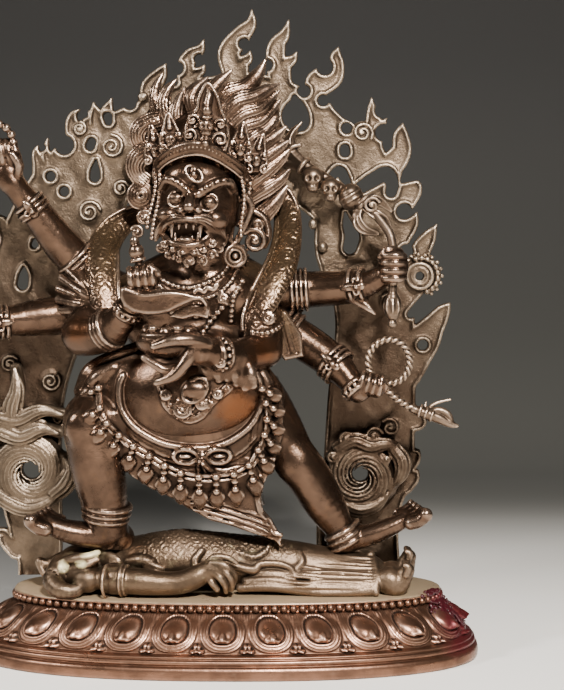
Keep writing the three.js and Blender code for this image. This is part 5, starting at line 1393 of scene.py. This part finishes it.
# The plinth's profile below and above the lotus zone: how far it is drawn in, and its height.
FOOT = [(2.4, 0.0), (0.8, 0.05), (0.15, 0.5), (0, 1.4), (0.05, 3.0), (0.3, 4.0), (0.9, 4.5), (1.5, 4.55),
        (1.6, 4.8), (1.2, 5.0), (1.0, 5.6), (1.15, 6.3), (1.7, 6.6), (2.1, 6.65), (2.1, 6.9), (1.9, 7.1),
        (2.0, 7.5), (2.6, 7.7), (3.2, 7.75), (3.8, 7.85)]
TOP = [(14.4, 19.5), (14.9, 19.8), (14.6, 20.4), (14.4, 21.3), (13.9, 21.9), (13.2, 22.0), (13.0, 22.3),
       (13.3, 22.8), (13.9, 23.0), (14.6, 23.0), (22, 23.0)]
BEADS, BEAD_RADIUS, BEAD_HEIGHT = 114, 1.32, 20.8


def oval(turn, inset):
    """Points on the plinth's outline, a superellipse, drawn in by `inset`."""
    c, s = np.cos(turn), np.sin(turn)
    return ((PLINTH_SIZE[0] / 2 - inset) * np.sign(c) * np.abs(c) ** (2 / OVAL_POWER),
            (PLINTH_SIZE[1] / 2 - inset) * np.sign(s) * np.abs(s) ** (2 / OVAL_POWER))


def even_turns(count):
    """Angles that divide the outline into equal lengths, and one such length."""
    fine = np.linspace(0, 2 * math.pi, 20001)
    x, y = oval(fine, 3)
    far = np.concatenate([[0], np.cumsum(np.hypot(np.diff(x), np.diff(y)))])
    return np.interp(np.arange(count) * far[-1] / count, far, fine), far[-1] / count


def petal_relief(aside, up):
    """How far the lotus zone stands out at a place `aside` a petal's middle and `up` from the zone's foot."""
    def bump(q, at, width, height):
        return height * np.exp(-((q - at) / width) ** 2)
    outer = (np.abs(aside / PETAL_HALF) ** 2.2 + np.abs((up - 7.1) / 6.6) ** 2.2) ** (1 / 2.2)
    inner = (np.abs(aside / 4.6) ** 2.2 + np.abs((up - 7.2) / 3.7) ** 2.2) ** (1 / 2.2)
    low = np.clip((10.4 - up) / 3, 0, 1)
    out = 1.3 * np.clip(1.04 - outer, 0, 0.5) ** 0.5 * low
    for at, width, height in ((0.955, 0.042, 0.5), (0.82, 0.045, 0.62), (0.69, 0.035, 0.3)):
        out += bump(outer, at, width, height) * np.clip((inner - 1.1) * 6, 0, 1) * low
    out += np.where(inner < 1, 2.6 * np.sqrt(np.clip(1 - inner ** 2, 0, 1)), 0) - bump(inner, 1.06, 0.05, 0.3)
    out += bump(inner, 1.18, 0.08, 0.45)
    flame = np.hypot(aside / np.where(up > 5.3, 1.35, 1.8), (up - 5.3) / np.where(up > 5.3, 2.1, 1.2))
    out += 1.6 * np.clip(1 - flame, 0, 1) ** 0.6
    curls = np.hypot((np.abs(aside) - 1.9) / 0.9, (up - 4.4) / 0.8)
    out += 0.8 * np.clip(1 - curls, 0, 1) ** 0.6
    outside = np.clip((outer - 1.0) * 8, 0, 1) * np.clip((up - 4.5) / 2, 0, 1)
    out += outside * (0.3 + 0.34 * np.cos(2 * math.pi * aside / STAMEN_PITCH))
    out += np.clip((up - 9.8) / 0.8, 0, 1) * (1 - outside) * 0.24 * np.cos(2 * math.pi * aside / STAMEN_PITCH)
    apart = PETAL_HALF - np.abs(aside)
    for dx, dz, r in ((1.0, 0.85, 0.85), (0.0, 1.1, 0.95), (0.0, 2.5, 0.7)):
        out += 1.5 * np.sqrt(np.clip(1 - ((apart - dx) / r) ** 2 - ((up - dz) / r) ** 2, 0, 1))
    return out


def lotus_profile(steps, pitch):
    """The plinth's rows of (inset, height), and how far each stands out at each of the steps round it."""
    petal = pitch * PETAL_STEPS
    aside = (np.arange(steps) * pitch + 0.5 * petal) % petal - petal / 2
    share = np.linspace(0, 1, LOTUS_ROWS)
    lotus = [(4.6 + 9.0 * s ** 1.4, LOTUS_LOW + (LOTUS_HIGH - LOTUS_LOW) * s) for s in share]
    rows = FOOT + lotus + TOP
    out = np.zeros((len(rows), steps))
    for k, (_, height) in enumerate(lotus):
        out[len(FOOT) + k] = petal_relief(aside, (height - LOTUS_LOW) * 12 / (LOTUS_HIGH - LOTUS_LOW))
    out[len(FOOT):len(FOOT) + LOTUS_ROWS] *= np.clip(np.minimum(share, 1 - share) * 12 + 0.25, 0, 1)[:, None]
    return rows, out


def plinth_relief(mesh, rows, out):
    """Writes how hollow or proud each place of the plinth is."""
    def around(values, reach):
        total = sum(np.roll(values, k, 1) for k in range(-reach, reach + 1)) / (2 * reach + 1)
        padded = np.pad(total, ((reach // 2 + 1,) * 2, (0, 0)), mode="edge")
        size = 2 * (reach // 2 + 1) + 1
        return sum(padded[k:k + len(rows)] for k in range(size)) / size
    depth = out - np.array([inset for inset, _ in rows])[:, None] * 0.25
    fine = 0.5 + 0.55 * (around(depth, 2) - depth)
    broad = 0.5 + 0.22 * (around(depth, 7) - depth)
    colour_attribute(mesh, "relief", fine.clip(0, 1).ravel(), broad.clip(0, 1).ravel())


def lotus_plinth():
    """One closed mesh: the profile's rows, each an oval with the petals' relief."""
    steps = PETALS * PETAL_STEPS
    turns, pitch = even_turns(steps)
    rows, out = lotus_profile(steps, pitch)
    points = []
    for (inset, height), push in zip(rows, out):
        x, y = oval(turns, inset - push)
        points.append(np.stack([x, y, np.full(steps, height)], 1))
    count = len(rows)
    index = np.arange(steps)
    after = np.roll(index, -1)
    faces = [list(f) for r in range(count - 1)
             for f in zip(r * steps + index, r * steps + after, (r + 1) * steps + after,
                          (r + 1) * steps + index)]
    faces += [list(index[::-1]), list((count - 1) * steps + index)]
    mesh = bpy.data.meshes.new("lotus_plinth_casting")
    places = np.concatenate(points)
    mesh.from_pydata((places / 1000).tolist(), [], faces)
    plinth_relief(mesh, rows, out)
    x, y, z = places.T
    red = np.clip((x - 69 + 0.25 * (z - 12)) / 8, 0, 1) * np.clip((z - 2) / 3, 0, 1)
    red *= np.clip((36 - np.abs(y + 10)) / 8, 0, 1)
    # The green share marks the top plate for an olive tone, which is also made lighter to paint the light
    # falling on the top.
    colour_attribute(mesh, "tint", red, (z > 22.6) * 1.0)
    piece = thinned("lotus_plinth_casting", mesh, 105000)
    place_piece(piece, plinth_bronze, ["lotus_plinth"])


def plinth_beads():
    """The string of beads under the top plate's edge."""
    x, y = oval(even_turns(BEADS)[0], 13.4)
    turns = np.linspace(0, 2 * math.pi, 10, endpoint=False)
    points, faces = [], []
    for cx, cy in zip(x, y):
        start = len(points)
        for b in np.linspace(0.3, math.pi - 0.3, 6):
            wide, up = BEAD_RADIUS * math.sin(b), BEAD_RADIUS * math.cos(b)
            points += [(cx + wide * math.cos(a), cy + wide * math.sin(a), BEAD_HEIGHT + up) for a in turns]
        faces += [(start + 10 * r + k, start + 10 * (r + 1) + k, start + 10 * (r + 1) + (k + 1) % 10,
                   start + 10 * r + (k + 1) % 10) for r in range(5) for k in range(10)]
        faces += [tuple(range(start, start + 10)), tuple(range(start + 59, start + 49, -1))]
    mesh = bpy.data.meshes.new("plinth_beads")
    places = np.array(points)
    mesh.from_pydata((places / 1000).tolist(), [], faces)
    # The beads' lower halves are marked hollow, which paints shade under each bead; their tops are marked
    # proud, for rubbed wear.
    lie = (places[:, 2] - BEAD_HEIGHT) / BEAD_RADIUS
    colour_attribute(mesh, "relief", 0.56 - 0.2 * lie, 0.56 - 0.14 * lie)
    colour_attribute(mesh, "tint", np.clip((places[:, 0] - 66) / 6, 0, 1), np.zeros(len(places)))
    piece = bpy.data.objects.new("plinth_beads", mesh)
    bpy.context.scene.collection.objects.link(piece)
    place_piece(piece, plinth_bronze)


def red_residue():
    """A crust of fine red grains on the plinth's right end, thickest on the top rim and a slanting line."""
    clay = Clay((60, -36, 2 - PLINTH_TOP), (89.2, 24, 25.5 - PLINTH_TOP), 0.3)
    chance = np.random.default_rng(7)

    def grain(turn, share, size):
        inset = 4.6 + 9.0 * share ** 1.4 - 0.9 * math.sin(math.pi * share)
        x, y = oval(np.array([turn]), inset)
        clay.add(ball((x[0], y[0], LOTUS_LOW + 12.6 * share - PLINTH_TOP), size), blend=0.4)
    for _ in range(190):
        grain(chance.normal(-0.24, 0.1), chance.beta(6, 1.6), chance.uniform(0.3, 0.6))
    for _ in range(110):
        share = chance.uniform(0.05, 0.8)
        grain(-0.10 - 0.14 * share + chance.normal(0, 0.012), share, chance.uniform(0.3, 0.55))
    for _ in range(60):
        grain(chance.normal(0.05, 0.22), chance.uniform(0.1, 0.9), chance.uniform(0.25, 0.45))
    for _ in range(70):
        x, y = oval(np.array([chance.normal(-0.30, 0.08)]), chance.uniform(12.8, 15.2))
        clay.add(ball((x[0], y[0], chance.uniform(22.1, 23.2) - PLINTH_TOP), chance.uniform(0.4, 0.8)),
                 blend=0.4)
    cast("red_residue", clay, residue, most=18000)


# The prone elephant-headed figure

def prone_body(clay):
    clay.add(bar([(-52, -2, 6, 8), (-36, -3, 8, 9.5), (-20, -4, 10, 10.4), (-6, -5, 10, 10),
                  (10, -5, 9.4, 9.2), (28, -5, 8, 8.2), (48, -5.4, 5.6, 7.2)], flat=(0, 0, 1), thin=0.92),
             blend=0)
    clay.add(bar([(-34, 2, 6, 8), (-10, 2, 7, 8.4), (20, 1.4, 5, 7.4), (46, 1, 4, 6)]), blend=3)
    clay.add(bar([(-24, -5, 12, 6.2), (-15.6, -5, 14.2, 6), (-8, -5, 14, 5.6), (4, -5, 13, 5),
                  (14, -5, 12.4, 4.8), (26, -6, 10.4, 4.4)]), blend=3)


def elephant_head(clay):
    """The head with its ear, rolled trunk, tusk and cheek."""
    clay.add(ball((-50, -8, 7.4), (9, 10, 8.4)), ball((-46, -4, 10), (7.4, 8, 6)), blend=2.5)
    clay.add(ball((-46.6, -16.6, 5.4), (5.2, 4.6, 4.4)), blend=0.9)
    clay.add(bar([(-56, -12, 9, 4.2), (-58, -17, 5, 3.6), (-54.6, -20.6, 2.6, 3), (-50, -20.4, 2.6, 2.4),
                  (-48, -18.4, 5.2, 1.9)]), blend=0.9)
    for t in np.linspace(0.1, 0.9, 7):
        x, z = -57.6 + 6 * t * t, 9 - 6.6 * t
        clay.cut(ring((x, -14 - 6 * t, z), (0.2 - 0.8 * t, -0.7, -0.7 + 0.5 * t), 3.9 - 1.1 * t, 0.28,
                      steps=14), blend=0.2)
    clay.add(bar([(-54, -15, 11.6, 1.3), (-50, -17, 12.6, 1.7), (-46, -17.2, 13.4, 1.5),
                  (-43, -16, 14.6, 1.0)]), blend=0.7)
    clay.add(bar([(-50, -16.6, 9, 1.2), (-46.6, -18, 10.8, 1.4), (-43, -17, 12.4, 1.0)]), blend=0.6)
    clay.add(ball((-55.4, -15, 9.8), (2, 1.6, 2.4)), blend=0.5)
    clay.cut(ball((-52.4, -17.2, 10.4), 0.7), blend=0.3)
    clay.add(bar([(-42, -12, 12, 3), (-38, -13.6, 10, 3.6), (-37, -14.4, 6, 3.4), (-38.6, -14.4, 2.4, 2.4)],
                 flat=(0.5, 1, 0), thin=0.5), blend=0.9)
    for path in ([(-43, -16, 10.6), (-40, -17, 8), (-40, -17.2, 4)],
                 [(-40, -15.8, 12), (-37.4, -17.6, 9), (-37.4, -17.8, 5)]):
        clay.cut(bar([(*p, 0.45) for p in path]), blend=0.3)
    clay.add(bar([(-57, -4, 10, 2.4), (-62, -5, 8, 2.2), (-64.6, -6, 9.4, 1.4), (-63, -7, 5.6, 1.2)]),
             blend=0.8)


def prone_arms(clay):
    """The near arm with its cuff and hand, and the other hand before the elbow."""
    clay.add(bar([(-39, -16, 5.6, 5), (-37, -17.4, 5.8, 5.2), (-34.6, -18.6, 5.6, 4.8)], steps=3), blend=1)
    clay.add(bar([(-34, -18.6, 5.6, 4.4), (-28, -19.4, 5.4, 4.5), (-20, -19.6, 4.9, 4),
                  (-14, -19.6, 5.4, 3.9), (-9, -19.4, 7.4, 3.8), (-5.4, -19, 9.6, 3.2)]), blend=0.8)
    for x, z, r in ((-34.2, 5.7, 5.1), (-33, 5.7, 4.9), (-39.6, 5.4, 5.4)):
        clay.add(ring((x, -18.6, z), (1, -0.2, 0), r, 0.55, steps=18), blend=0.3)
    clay.add(ball((-2.6, -19.6, 9.4), (4.6, 3.6, 3.6)), blend=1)
    for rows in ([(-4, -20.6, 12, 1.4), (0, -22, 11.6, 1.4), (3, -21.4, 8.6, 1.2), (3.4, -20.4, 6, 1)],
                 [(-2, -21.4, 10.8, 1.4), (1.4, -22.6, 8.6, 1.35), (2.6, -21.6, 5.4, 1.15),
                  (2.4, -20.4, 3.2, 0.95)],
                 [(-3.6, -21.4, 9.4, 1.4), (-1, -22.4, 7.2, 1.35), (0.4, -21.6, 4.4, 1.1),
                  (0.6, -20.4, 2.4, 0.9)],
                 [(-5.6, -20.4, 7.6, 1.4), (-4, -21.6, 5.6, 1.3), (-2.4, -21.2, 3.4, 1.1)],
                 [(-5.6, -19, 12, 1.3), (-3, -19.6, 14, 1.3), (1.4, -19.8, 13.6, 1.1), (4, -19.6, 12, 0.8)]):
        clay.add(bar(rows), blend=0.4)
    clay.add(bar([(-33, -11, 10.6, 2), (-28.6, -13, 11.4, 2.2), (-25, -14, 10.8, 1.8)]), blend=0.8)
    for dz in (0, -1.3, -2.4):
        clay.add(bar([(-27, -14.4, 11 + dz, 1.1), (-23.6, -15.6, 10 + dz, 1.05), (-21, -15.4, 9 + dz, 0.8)]),
                 blend=0.3)


def robe_pleats(clay):
    """Long pleats on the near side, closed by a hem."""
    for i in range(6):
        lift = i / 5
        depth = -15.6 + 8 * lift ** 1.4
        dip = 1.8 if i == 0 else 0.6
        clay.add(bar([(5 + 2 * i, depth, 2.6 + 10 * lift, 1.5), (16, depth - 0.6, 2.6 + 10 * lift + 0.5, 1.7),
                      (27, depth - 0.4, 2.2 + 9.6 * lift - 0.3 * dip, 1.6),
                      (34, depth - 0.8, 2.0 + 9 * lift - 0.5 * dip, 1.7),
                      (50.4, depth - 0.8, 1.7 + 8.4 * lift, 1.5)]), blend=0.6)
        if i:
            clay.cut(bar([(18, depth - 2.2, 1.6 + 10 * lift, 0.4), (34, depth - 2.2, 1.0 + 9 * lift, 0.45),
                          (50, depth - 2.0, 0.8 + 8.4 * lift, 0.4)]), blend=0.4)
    for i in range(11):
        lift = i / 10
        depth, sway = -17 + 8 * lift ** 1.4, 0.5 * math.sin(2.3 * i)
        clay.add(bar([(14 + i + 3 * sway, depth + 0.3, 3.6 + 10 * lift, 0.35),
                      (24, depth - 0.2, 3.3 + 9.8 * lift + sway, 0.55),
                      (36, depth - 0.2, 2.9 + 9.2 * lift - 0.6 * sway, 0.6),
                      (50.4, depth - 0.1, 2.6 + 8.6 * lift, 0.6)]), blend=0.25)
    clay.add(bar([(51, -17, 1.4, 1.2), (51.2, -15, 5, 1.3), (50.8, -11, 9, 1.3), (49.8, -6, 12.2, 1.2)]),
             blend=0.5)


def robe_back(clay):
    """A crumpled sash and an embossed back."""
    for rows in ([(3, -15, 10, 1.4), (9.6, -15.6, 8.8, 1.5), (12, -15, 10.7, 1.2), (18, -14.6, 10.7, 1.1),
                  (22, -14.6, 9.2, 1.0), (23.6, -15, 6.6, 0.8)],
                 [(4, -12, 14, 1.2), (9, -13, 12.6, 1.4), (12.6, -12.6, 13.6, 1.2), (15, -10.6, 16, 0.9)],
                 [(-8, -14, 15, 1.3), (-10, -15, 12, 1.5), (-9.4, -16, 8.4, 1.3), (-7, -16, 5.4, 1.1)],
                 [(24, -13.4, 8.6, 1.3), (26, -12.6, 11, 1.2), (25, -10.6, 13.6, 1)]):
        clay.add(bar(rows), blend=0.6)
    clay.press((-32, -16, 9.5), (24, 10, 23),
               lambda x, y, z: scrollwork(x + 0.4 * y, z + 0.7 * y, 4.2, 0.35)
               * np.clip((x + 32) / 5, 0, 1) * np.clip((24 - x) / 5, 0, 1)
               * np.clip((z - 9.5) / 3, 0, 1) * np.clip((y + 16) / 3, 0, 1))
    clay.add(bar([(37, -7, 12, 1.2), (41, -8, 10.4, 1.4), (46, -8, 10.6, 1.4), (49.6, -7, 12.4, 1.2)]),
             blend=0.7)


def upturned_feet(clay):
    """Two feet with the toes up, behind the robe's hem."""
    for root, tip, toe in (((53.6, -6, 4.6), (60, -5.4, 5), (62.6, -6, 11.4)),
                           ((53.6, -12.4, 4), (58, -13, 3.4), (61.6, -13.4, 8.2))):
        clay.add(bar([(*root, 3.4), ((root[0] + tip[0]) / 2, root[1], root[2] + 0.6, 4.8), (*tip, 4.2),
                      (*toe, 2.6)]), blend=1)
        for k in range(5):
            shift = (k - 2) * 1.25
            clay.add(bar([(toe[0] - 0.6, toe[1] + shift * 1.1, toe[2] - 1, 1.2),
                          (toe[0] + 0.2, toe[1] + shift * 1.2, toe[2] + 1.6, 1.15),
                          (toe[0] - 0.8, toe[1] + shift * 1.2, toe[2] + 2.4, 0.9)]), blend=0.3)


def prone_figure():
    clay = Clay((-68, -31, 0.1), (69, 12, 24), 0.38)
    for part in (prone_body, elephant_head, prone_arms, robe_pleats, robe_back, upturned_feet):
        part(clay)
    pale_spots = patch(((-44.6, -17.5, 14.8), (3.4, 5, 1.3)), ((-54.6, -15, 9.9), (1.6, 4, 1.8)),
                       ((-48.4, -17, 11.2), (1.8, 5, 1.1)))
    brown_cloth = patch(((34, -14, 6), (24, 14, 8)), ((-14, -6, 18), (10, 12, 5)))
    cast("prone_figure_casting", clay, prone_bronze, replaced=["prone_figure"], most=70000,
         tints=[pale_spots, brown_cloth])


# Trident and noose

ROPE_PITCH = 4.2
ROPE_STRANDS = 2


def twisted_rope(clay, path, radius):
    """Strands wound round a path of (x, y, z)."""
    rows = smooth_path([(*p, 0) for p in path], 8)[:, :3]
    far = np.concatenate([[0], np.cumsum(np.linalg.norm(np.diff(rows, axis=0), axis=1))])
    even = np.arange(0, far[-1], ROPE_PITCH / 9)
    centre = np.stack([np.interp(even, far, rows[:, i]) for i in range(3)], 1)
    along = np.gradient(centre, axis=0)
    along /= np.linalg.norm(along, axis=1)[:, None]
    side = np.cross(along, (0, 1, 0))
    side /= np.linalg.norm(side, axis=1)[:, None]
    front = np.cross(side, along)
    for k in range(ROPE_STRANDS):
        turn = (2 * math.pi * (even / ROPE_PITCH + k / ROPE_STRANDS))[:, None]
        strand = centre + 0.52 * radius * (np.cos(turn) * side + np.sin(turn) * front)
        clay.add(bar(np.hstack([strand, np.full((len(strand), 1), 0.62 * radius)]), steps=1), blend=0.15)


def rod_and_prongs(clay):
    """The rod, and the three curled prongs at its end."""
    clay.add(bar([(26.5, 6, 146, 1.5), (36, 4, 140, 1.5), (46, 0, 133, 1.5), (53, -3.4, 126, 1.5),
                  (56.6, -5.8, 118, 1.5), (56.6, -6, 98, 1.5)]), blend=0)
    for rows in ([(27.6, 5.6, 144.4, 2), (23, 8, 149, 2.2), (21.6, 8.8, 153.6, 2), (22.6, 9, 157, 1.4),
                  (25.6, 9, 160.4, 0.3)],
                 [(26, 6, 146.4, 1.8), (21.6, 8.4, 150.4, 2.2), (18, 9.4, 154, 1.9), (16.6, 9.8, 157.6, 1.3),
                  (18.4, 10, 162.4, 0.3)],
                 [(26.6, 6, 145, 1.8), (21.4, 8.6, 146.6, 2.1), (16.8, 9.6, 147.2, 1.7),
                  (13.6, 10, 149.4, 1.1), (12.4, 10.2, 153, 0.3)]):
        clay.add(bar(rows, flat=(0, 1, 0), thin=0.62), blend=0.5)
        clay.add(bar([(x, y - 0.6 * r, z, 0.4) for x, y, z, r in rows]), blend=0.3)
    clay.add(bar([(20, 8, 148, 0.9), (22, 7, 151.6, 0.9), (25, 7.6, 152.6, 0.9)]),
             ring((26.4, 5.8, 145.4), (0.8, -0.2, -0.6), 2.6, 0.8), blend=0.3)


def skulls_and_knob(clay):
    """Two skulls and a ringed knob on the rod."""
    skull(clay, (29.5, 3.6, 141.4), 1.5)
    skull(clay, (35.6, 2.4, 137.8), 1.4)
    clay.add(ball((42.6, 1.6, 134.6), (4.2, 3.8, 4.6)), blend=0.5)
    for up in (-2.6, -1.0, 0.6, 2.2):
        clay.add(ring((42.6 - 0.5 * up, 1.6, 134.6 + 0.86 * up), (-0.5, 0, 0.86), 3.9 - 0.22 * up * up, 0.5,
                      steps=20), blend=0.25)
    clay.add(ring((46.8, -0.4, 131.6), (0.7, -0.2, -0.7), 2.2, 0.8, steps=14), blend=0.3)


def ribbon_knot(clay):
    """Three flat ribbon ends with raised edges, and a scroll."""
    for rows in ([(46, -1.4, 132, 1.4), (49.4, -2.4, 134, 1.8), (53, -1, 132.6, 1.6), (56.4, 1, 129.8, 0.5)],
                 [(46, -1, 131, 1.6), (44.6, -2, 126.8, 2), (47, -2.2, 123.4, 1.8), (51.6, -1, 122, 0.6)],
                 [(47, -1.4, 131.4, 1.4), (51, -2.4, 128.6, 1.9), (54.4, -1.6, 126.4, 1.5),
                  (56.4, 0.6, 123, 0.4)]):
        clay.add(bar(rows, flat=(0.2, 1, 0.1), thin=0.5), blend=0.4)
        for side in (-1, 0, 1):
            edge = [(x + 0.5 * side * r, y - 0.55 * r, z + 0.55 * side * r, 0.36) for x, y, z, r in rows]
            clay.add(bar(edge), blend=0.2)
    spiral(clay, (49.6, -3, 131.6), 2.8, 0.7, turns=1.4, start=0.5)


def rod_vase(clay):
    """The ribbed vase at the rod's foot."""
    x, y = 56.6, -6
    profile = ((102, 1.2), (100.4, 2.2), (98.6, 2.6), (95.4, 2.5), (93.6, 1.3))
    clay.add(bar([(x, y, z, r) for z, r in profile], steps=3), blend=0.3)
    for turn in even_angles(8):
        c, s = math.cos(turn), math.sin(turn)
        rib = ((2.3, 100, 0.4), (2.8, 97, 0.5), (1.8, 94.4, 0.35))
        clay.add(bar([(x + out * c, y + out * s, z, r) for out, z, r in rib]), blend=0.15)
    clay.add(ball((x, y, 91.6), 1.55), blend=0.2)
    clay.cut(ring((x, y, 104.6), (0, 0, 1), 1.7, 0.3, steps=12), blend=0.2)


def trident():
    clay = Clay((8, -13, 88), (66, 13.2, 168), 0.3)
    for part in (rod_and_prongs, skulls_and_knob, ribbon_knot, rod_vase):
        part(clay)
    cast("trident", clay, implement_bronze, replaced=["trident_staff"], most=38000)


def noose_rope():
    """The rope's loop, its free length to the right and the hook at its end."""
    clay = Clay((40, -13.5, 54), (82, -3, 92), 0.26)
    turns = [math.radians(a) for a in range(248, 248 - 376, -24)]
    loop = [(55.5 + 7.1 * math.cos(a), -6.6, 78.7 + 7.5 * math.sin(a)) for a in turns]
    twisted_rope(clay, loop, 1.15)
    twisted_rope(clay, [(43.5, -8.4, 73), (48, -8, 73), (53, -7.8, 70.6), (58.5, -8, 65.8), (65, -8.6, 62.2),
                        (71, -9, 60.2)], 1.2)
    clay.add(bar([(64, -8.6, 62.6, 1.5), (68, -8.8, 61.2, 2.0), (72, -9, 59.8, 1.9), (76, -9.4, 57.8, 1.3),
                  (78.4, -9.6, 57.2, 0.7)]), blend=0.3)
    clay.add(bar([(69, -9, 62, 1), (72.6, -9, 62.4, 1.2), (75.4, -9.2, 61, 1.2), (76.6, -9.4, 58.6, 0.9)]),
             blend=0.3)
    clay.add(bar([(68, -8.6, 62.4, 0.7), (71.6, -8.4, 64.8, 0.55), (76.4, -8.2, 66, 0.35)]),
             bar([(67.6, -8.6, 62.4, 0.6), (68, -8.4, 65, 0.3)]), blend=0.25)
    for x, z in ((66, 62.2), (68, 61.4), (70, 60.6)):
        clay.add(ring((x, -8.8, z), (0.9, -0.1, -0.35), 2, 0.45, steps=14), blend=0.2)
    cast("noose_rope", clay, implement_bronze, replaced=["noose"], most=18000)


# Camera, light and floor

CAMERA_LENS = 83.5
CAMERA_PLACE = (0.0278, -0.5493, 0.1475)
# How far the camera looks to the left and down, in radians.
LEFTWARD, DOWNWARD = 0.016, 0.0739
WORLD_COLOUR, WORLD_LIGHT = (0.30, 0.30, 0.29, 1), 0.035
# The backdrop's colours along the way over the floor and up the wall, in metres: a pale floor, then a dark
# backdrop that darkens further up the wall as painted fall-off of light.
BACKDROP = [(0.0, (0.92, 0.89, 0.84)), (0.10, (0.92, 0.89, 0.84)), (0.25, (0.088, 0.087, 0.078)),
            (0.36, (0.076, 0.075, 0.067)), (0.46, (0.078, 0.077, 0.068)), (0.65, (0.042, 0.041, 0.036)),
            (0.90, (0.0070, 0.0060, 0.0048))]

camera = bpy.data.objects.new("camera", bpy.data.cameras.new("camera"))
bpy.context.scene.collection.objects.link(camera)
camera.data.lens = CAMERA_LENS
camera.data.clip_start, camera.data.clip_end = 0.05, 20
camera.location = CAMERA_PLACE
level = math.cos(DOWNWARD)
aim = Vector((-math.sin(LEFTWARD) * level, math.cos(LEFTWARD) * level, -math.sin(DOWNWARD)))
camera.rotation_mode = "QUATERNION"
camera.rotation_quaternion = aim.to_track_quat("-Z", "Y")
bpy.context.scene.camera = camera


def softbox(name, location, target, size, watts, colour=(1, 1, 1)):
    """A round lamp that points at the target."""
    light = bpy.data.objects.new(name, bpy.data.lights.new(name, "AREA"))
    light.data.shape = "DISK"
    light.data.size = size
    light.data.energy = watts
    light.data.color = colour
    light.location = location
    light.rotation_mode = "QUATERNION"
    light.rotation_quaternion = (Vector(target) - Vector(location)).to_track_quat("-Z", "Y")
    bpy.context.scene.collection.objects.link(light)


softbox("key", (0.175, -0.76, 0.65), (0, 0, 0.10), 0.09, 26, (1.0, 0.96, 0.91))
softbox("left", (-0.62, -0.36, 0.52), (0, 0, 0.12), 0.12, 4.8, (1.0, 0.98, 0.95))
softbox("front", (0.30, -1.0, 0.12), (0, 0, 0.08), 0.3, 0.4)

world = bpy.data.worlds.new("studio")
world.use_nodes = True
background = world.node_tree.nodes["Background"]
background.inputs["Color"].default_value = WORLD_COLOUR
background.inputs["Strength"].default_value = WORLD_LIGHT
bpy.context.scene.world = world


def cove_paint(stops):
    """Matt paint whose colour changes softly along the floor and up the wall, darkening up the wall as painted
    fall-off of light.
    """
    paint = Paint("cove_paint")
    apart = paint.node("ShaderNodeSeparateXYZ")
    paint.links.new(paint.place, apart.inputs["Vector"])
    ramp = paint.node("ShaderNodeValToRGB")
    ramp.color_ramp.interpolation = "B_SPLINE"
    paint.links.new(paint.combine("ADD", apart.outputs["Y"], apart.outputs["Z"]), ramp.inputs["Fac"])
    for i, (at, colour) in enumerate(stops):
        stop = ramp.color_ramp.elements[0] if i == 0 else ramp.color_ramp.elements.new(at)
        stop.position, stop.color = at, (*colour, 1)
    ramp.color_ramp.elements.remove(ramp.color_ramp.elements[-1])
    paint.links.new(ramp.outputs["Color"], paint.shader.inputs["Base Color"])
    paint.shader.inputs["Roughness"].default_value = 0.75
    return paint.material


def cove(bend_start, bend, width, height):
    """A floor that curves up into a wall."""
    profile = [(-1.5, 0), (bend_start, 0)]
    for turn in np.linspace(0, math.pi / 2, 33)[1:]:
        profile.append((bend_start + bend * math.sin(turn), bend * (1 - math.cos(turn))))
    profile.append((bend_start + bend, height))
    corners = [(x, y, z) for y, z in profile for x in (-width, width)]
    faces = [(2 * i, 2 * i + 1, 2 * i + 3, 2 * i + 2) for i in range(len(profile) - 1)]
    mesh = bpy.data.meshes.new("cove")
    mesh.from_pydata(corners, [], faces)
    mesh.polygons.foreach_set("use_smooth", [True] * len(faces))
    mesh.materials.append(cove_paint(BACKDROP))
    piece = bpy.data.objects.new("cove", mesh)
    bpy.context.scene.collection.objects.link(piece)


cove(0.40, 0.25, 2, 2.5)

for make in (legs_and_skirt, torso, left_outer_arms, right_outer_arms, head, aureole, lotus_plinth,
             plinth_beads, red_residue, prone_figure, trident, noose_rope):
    make()
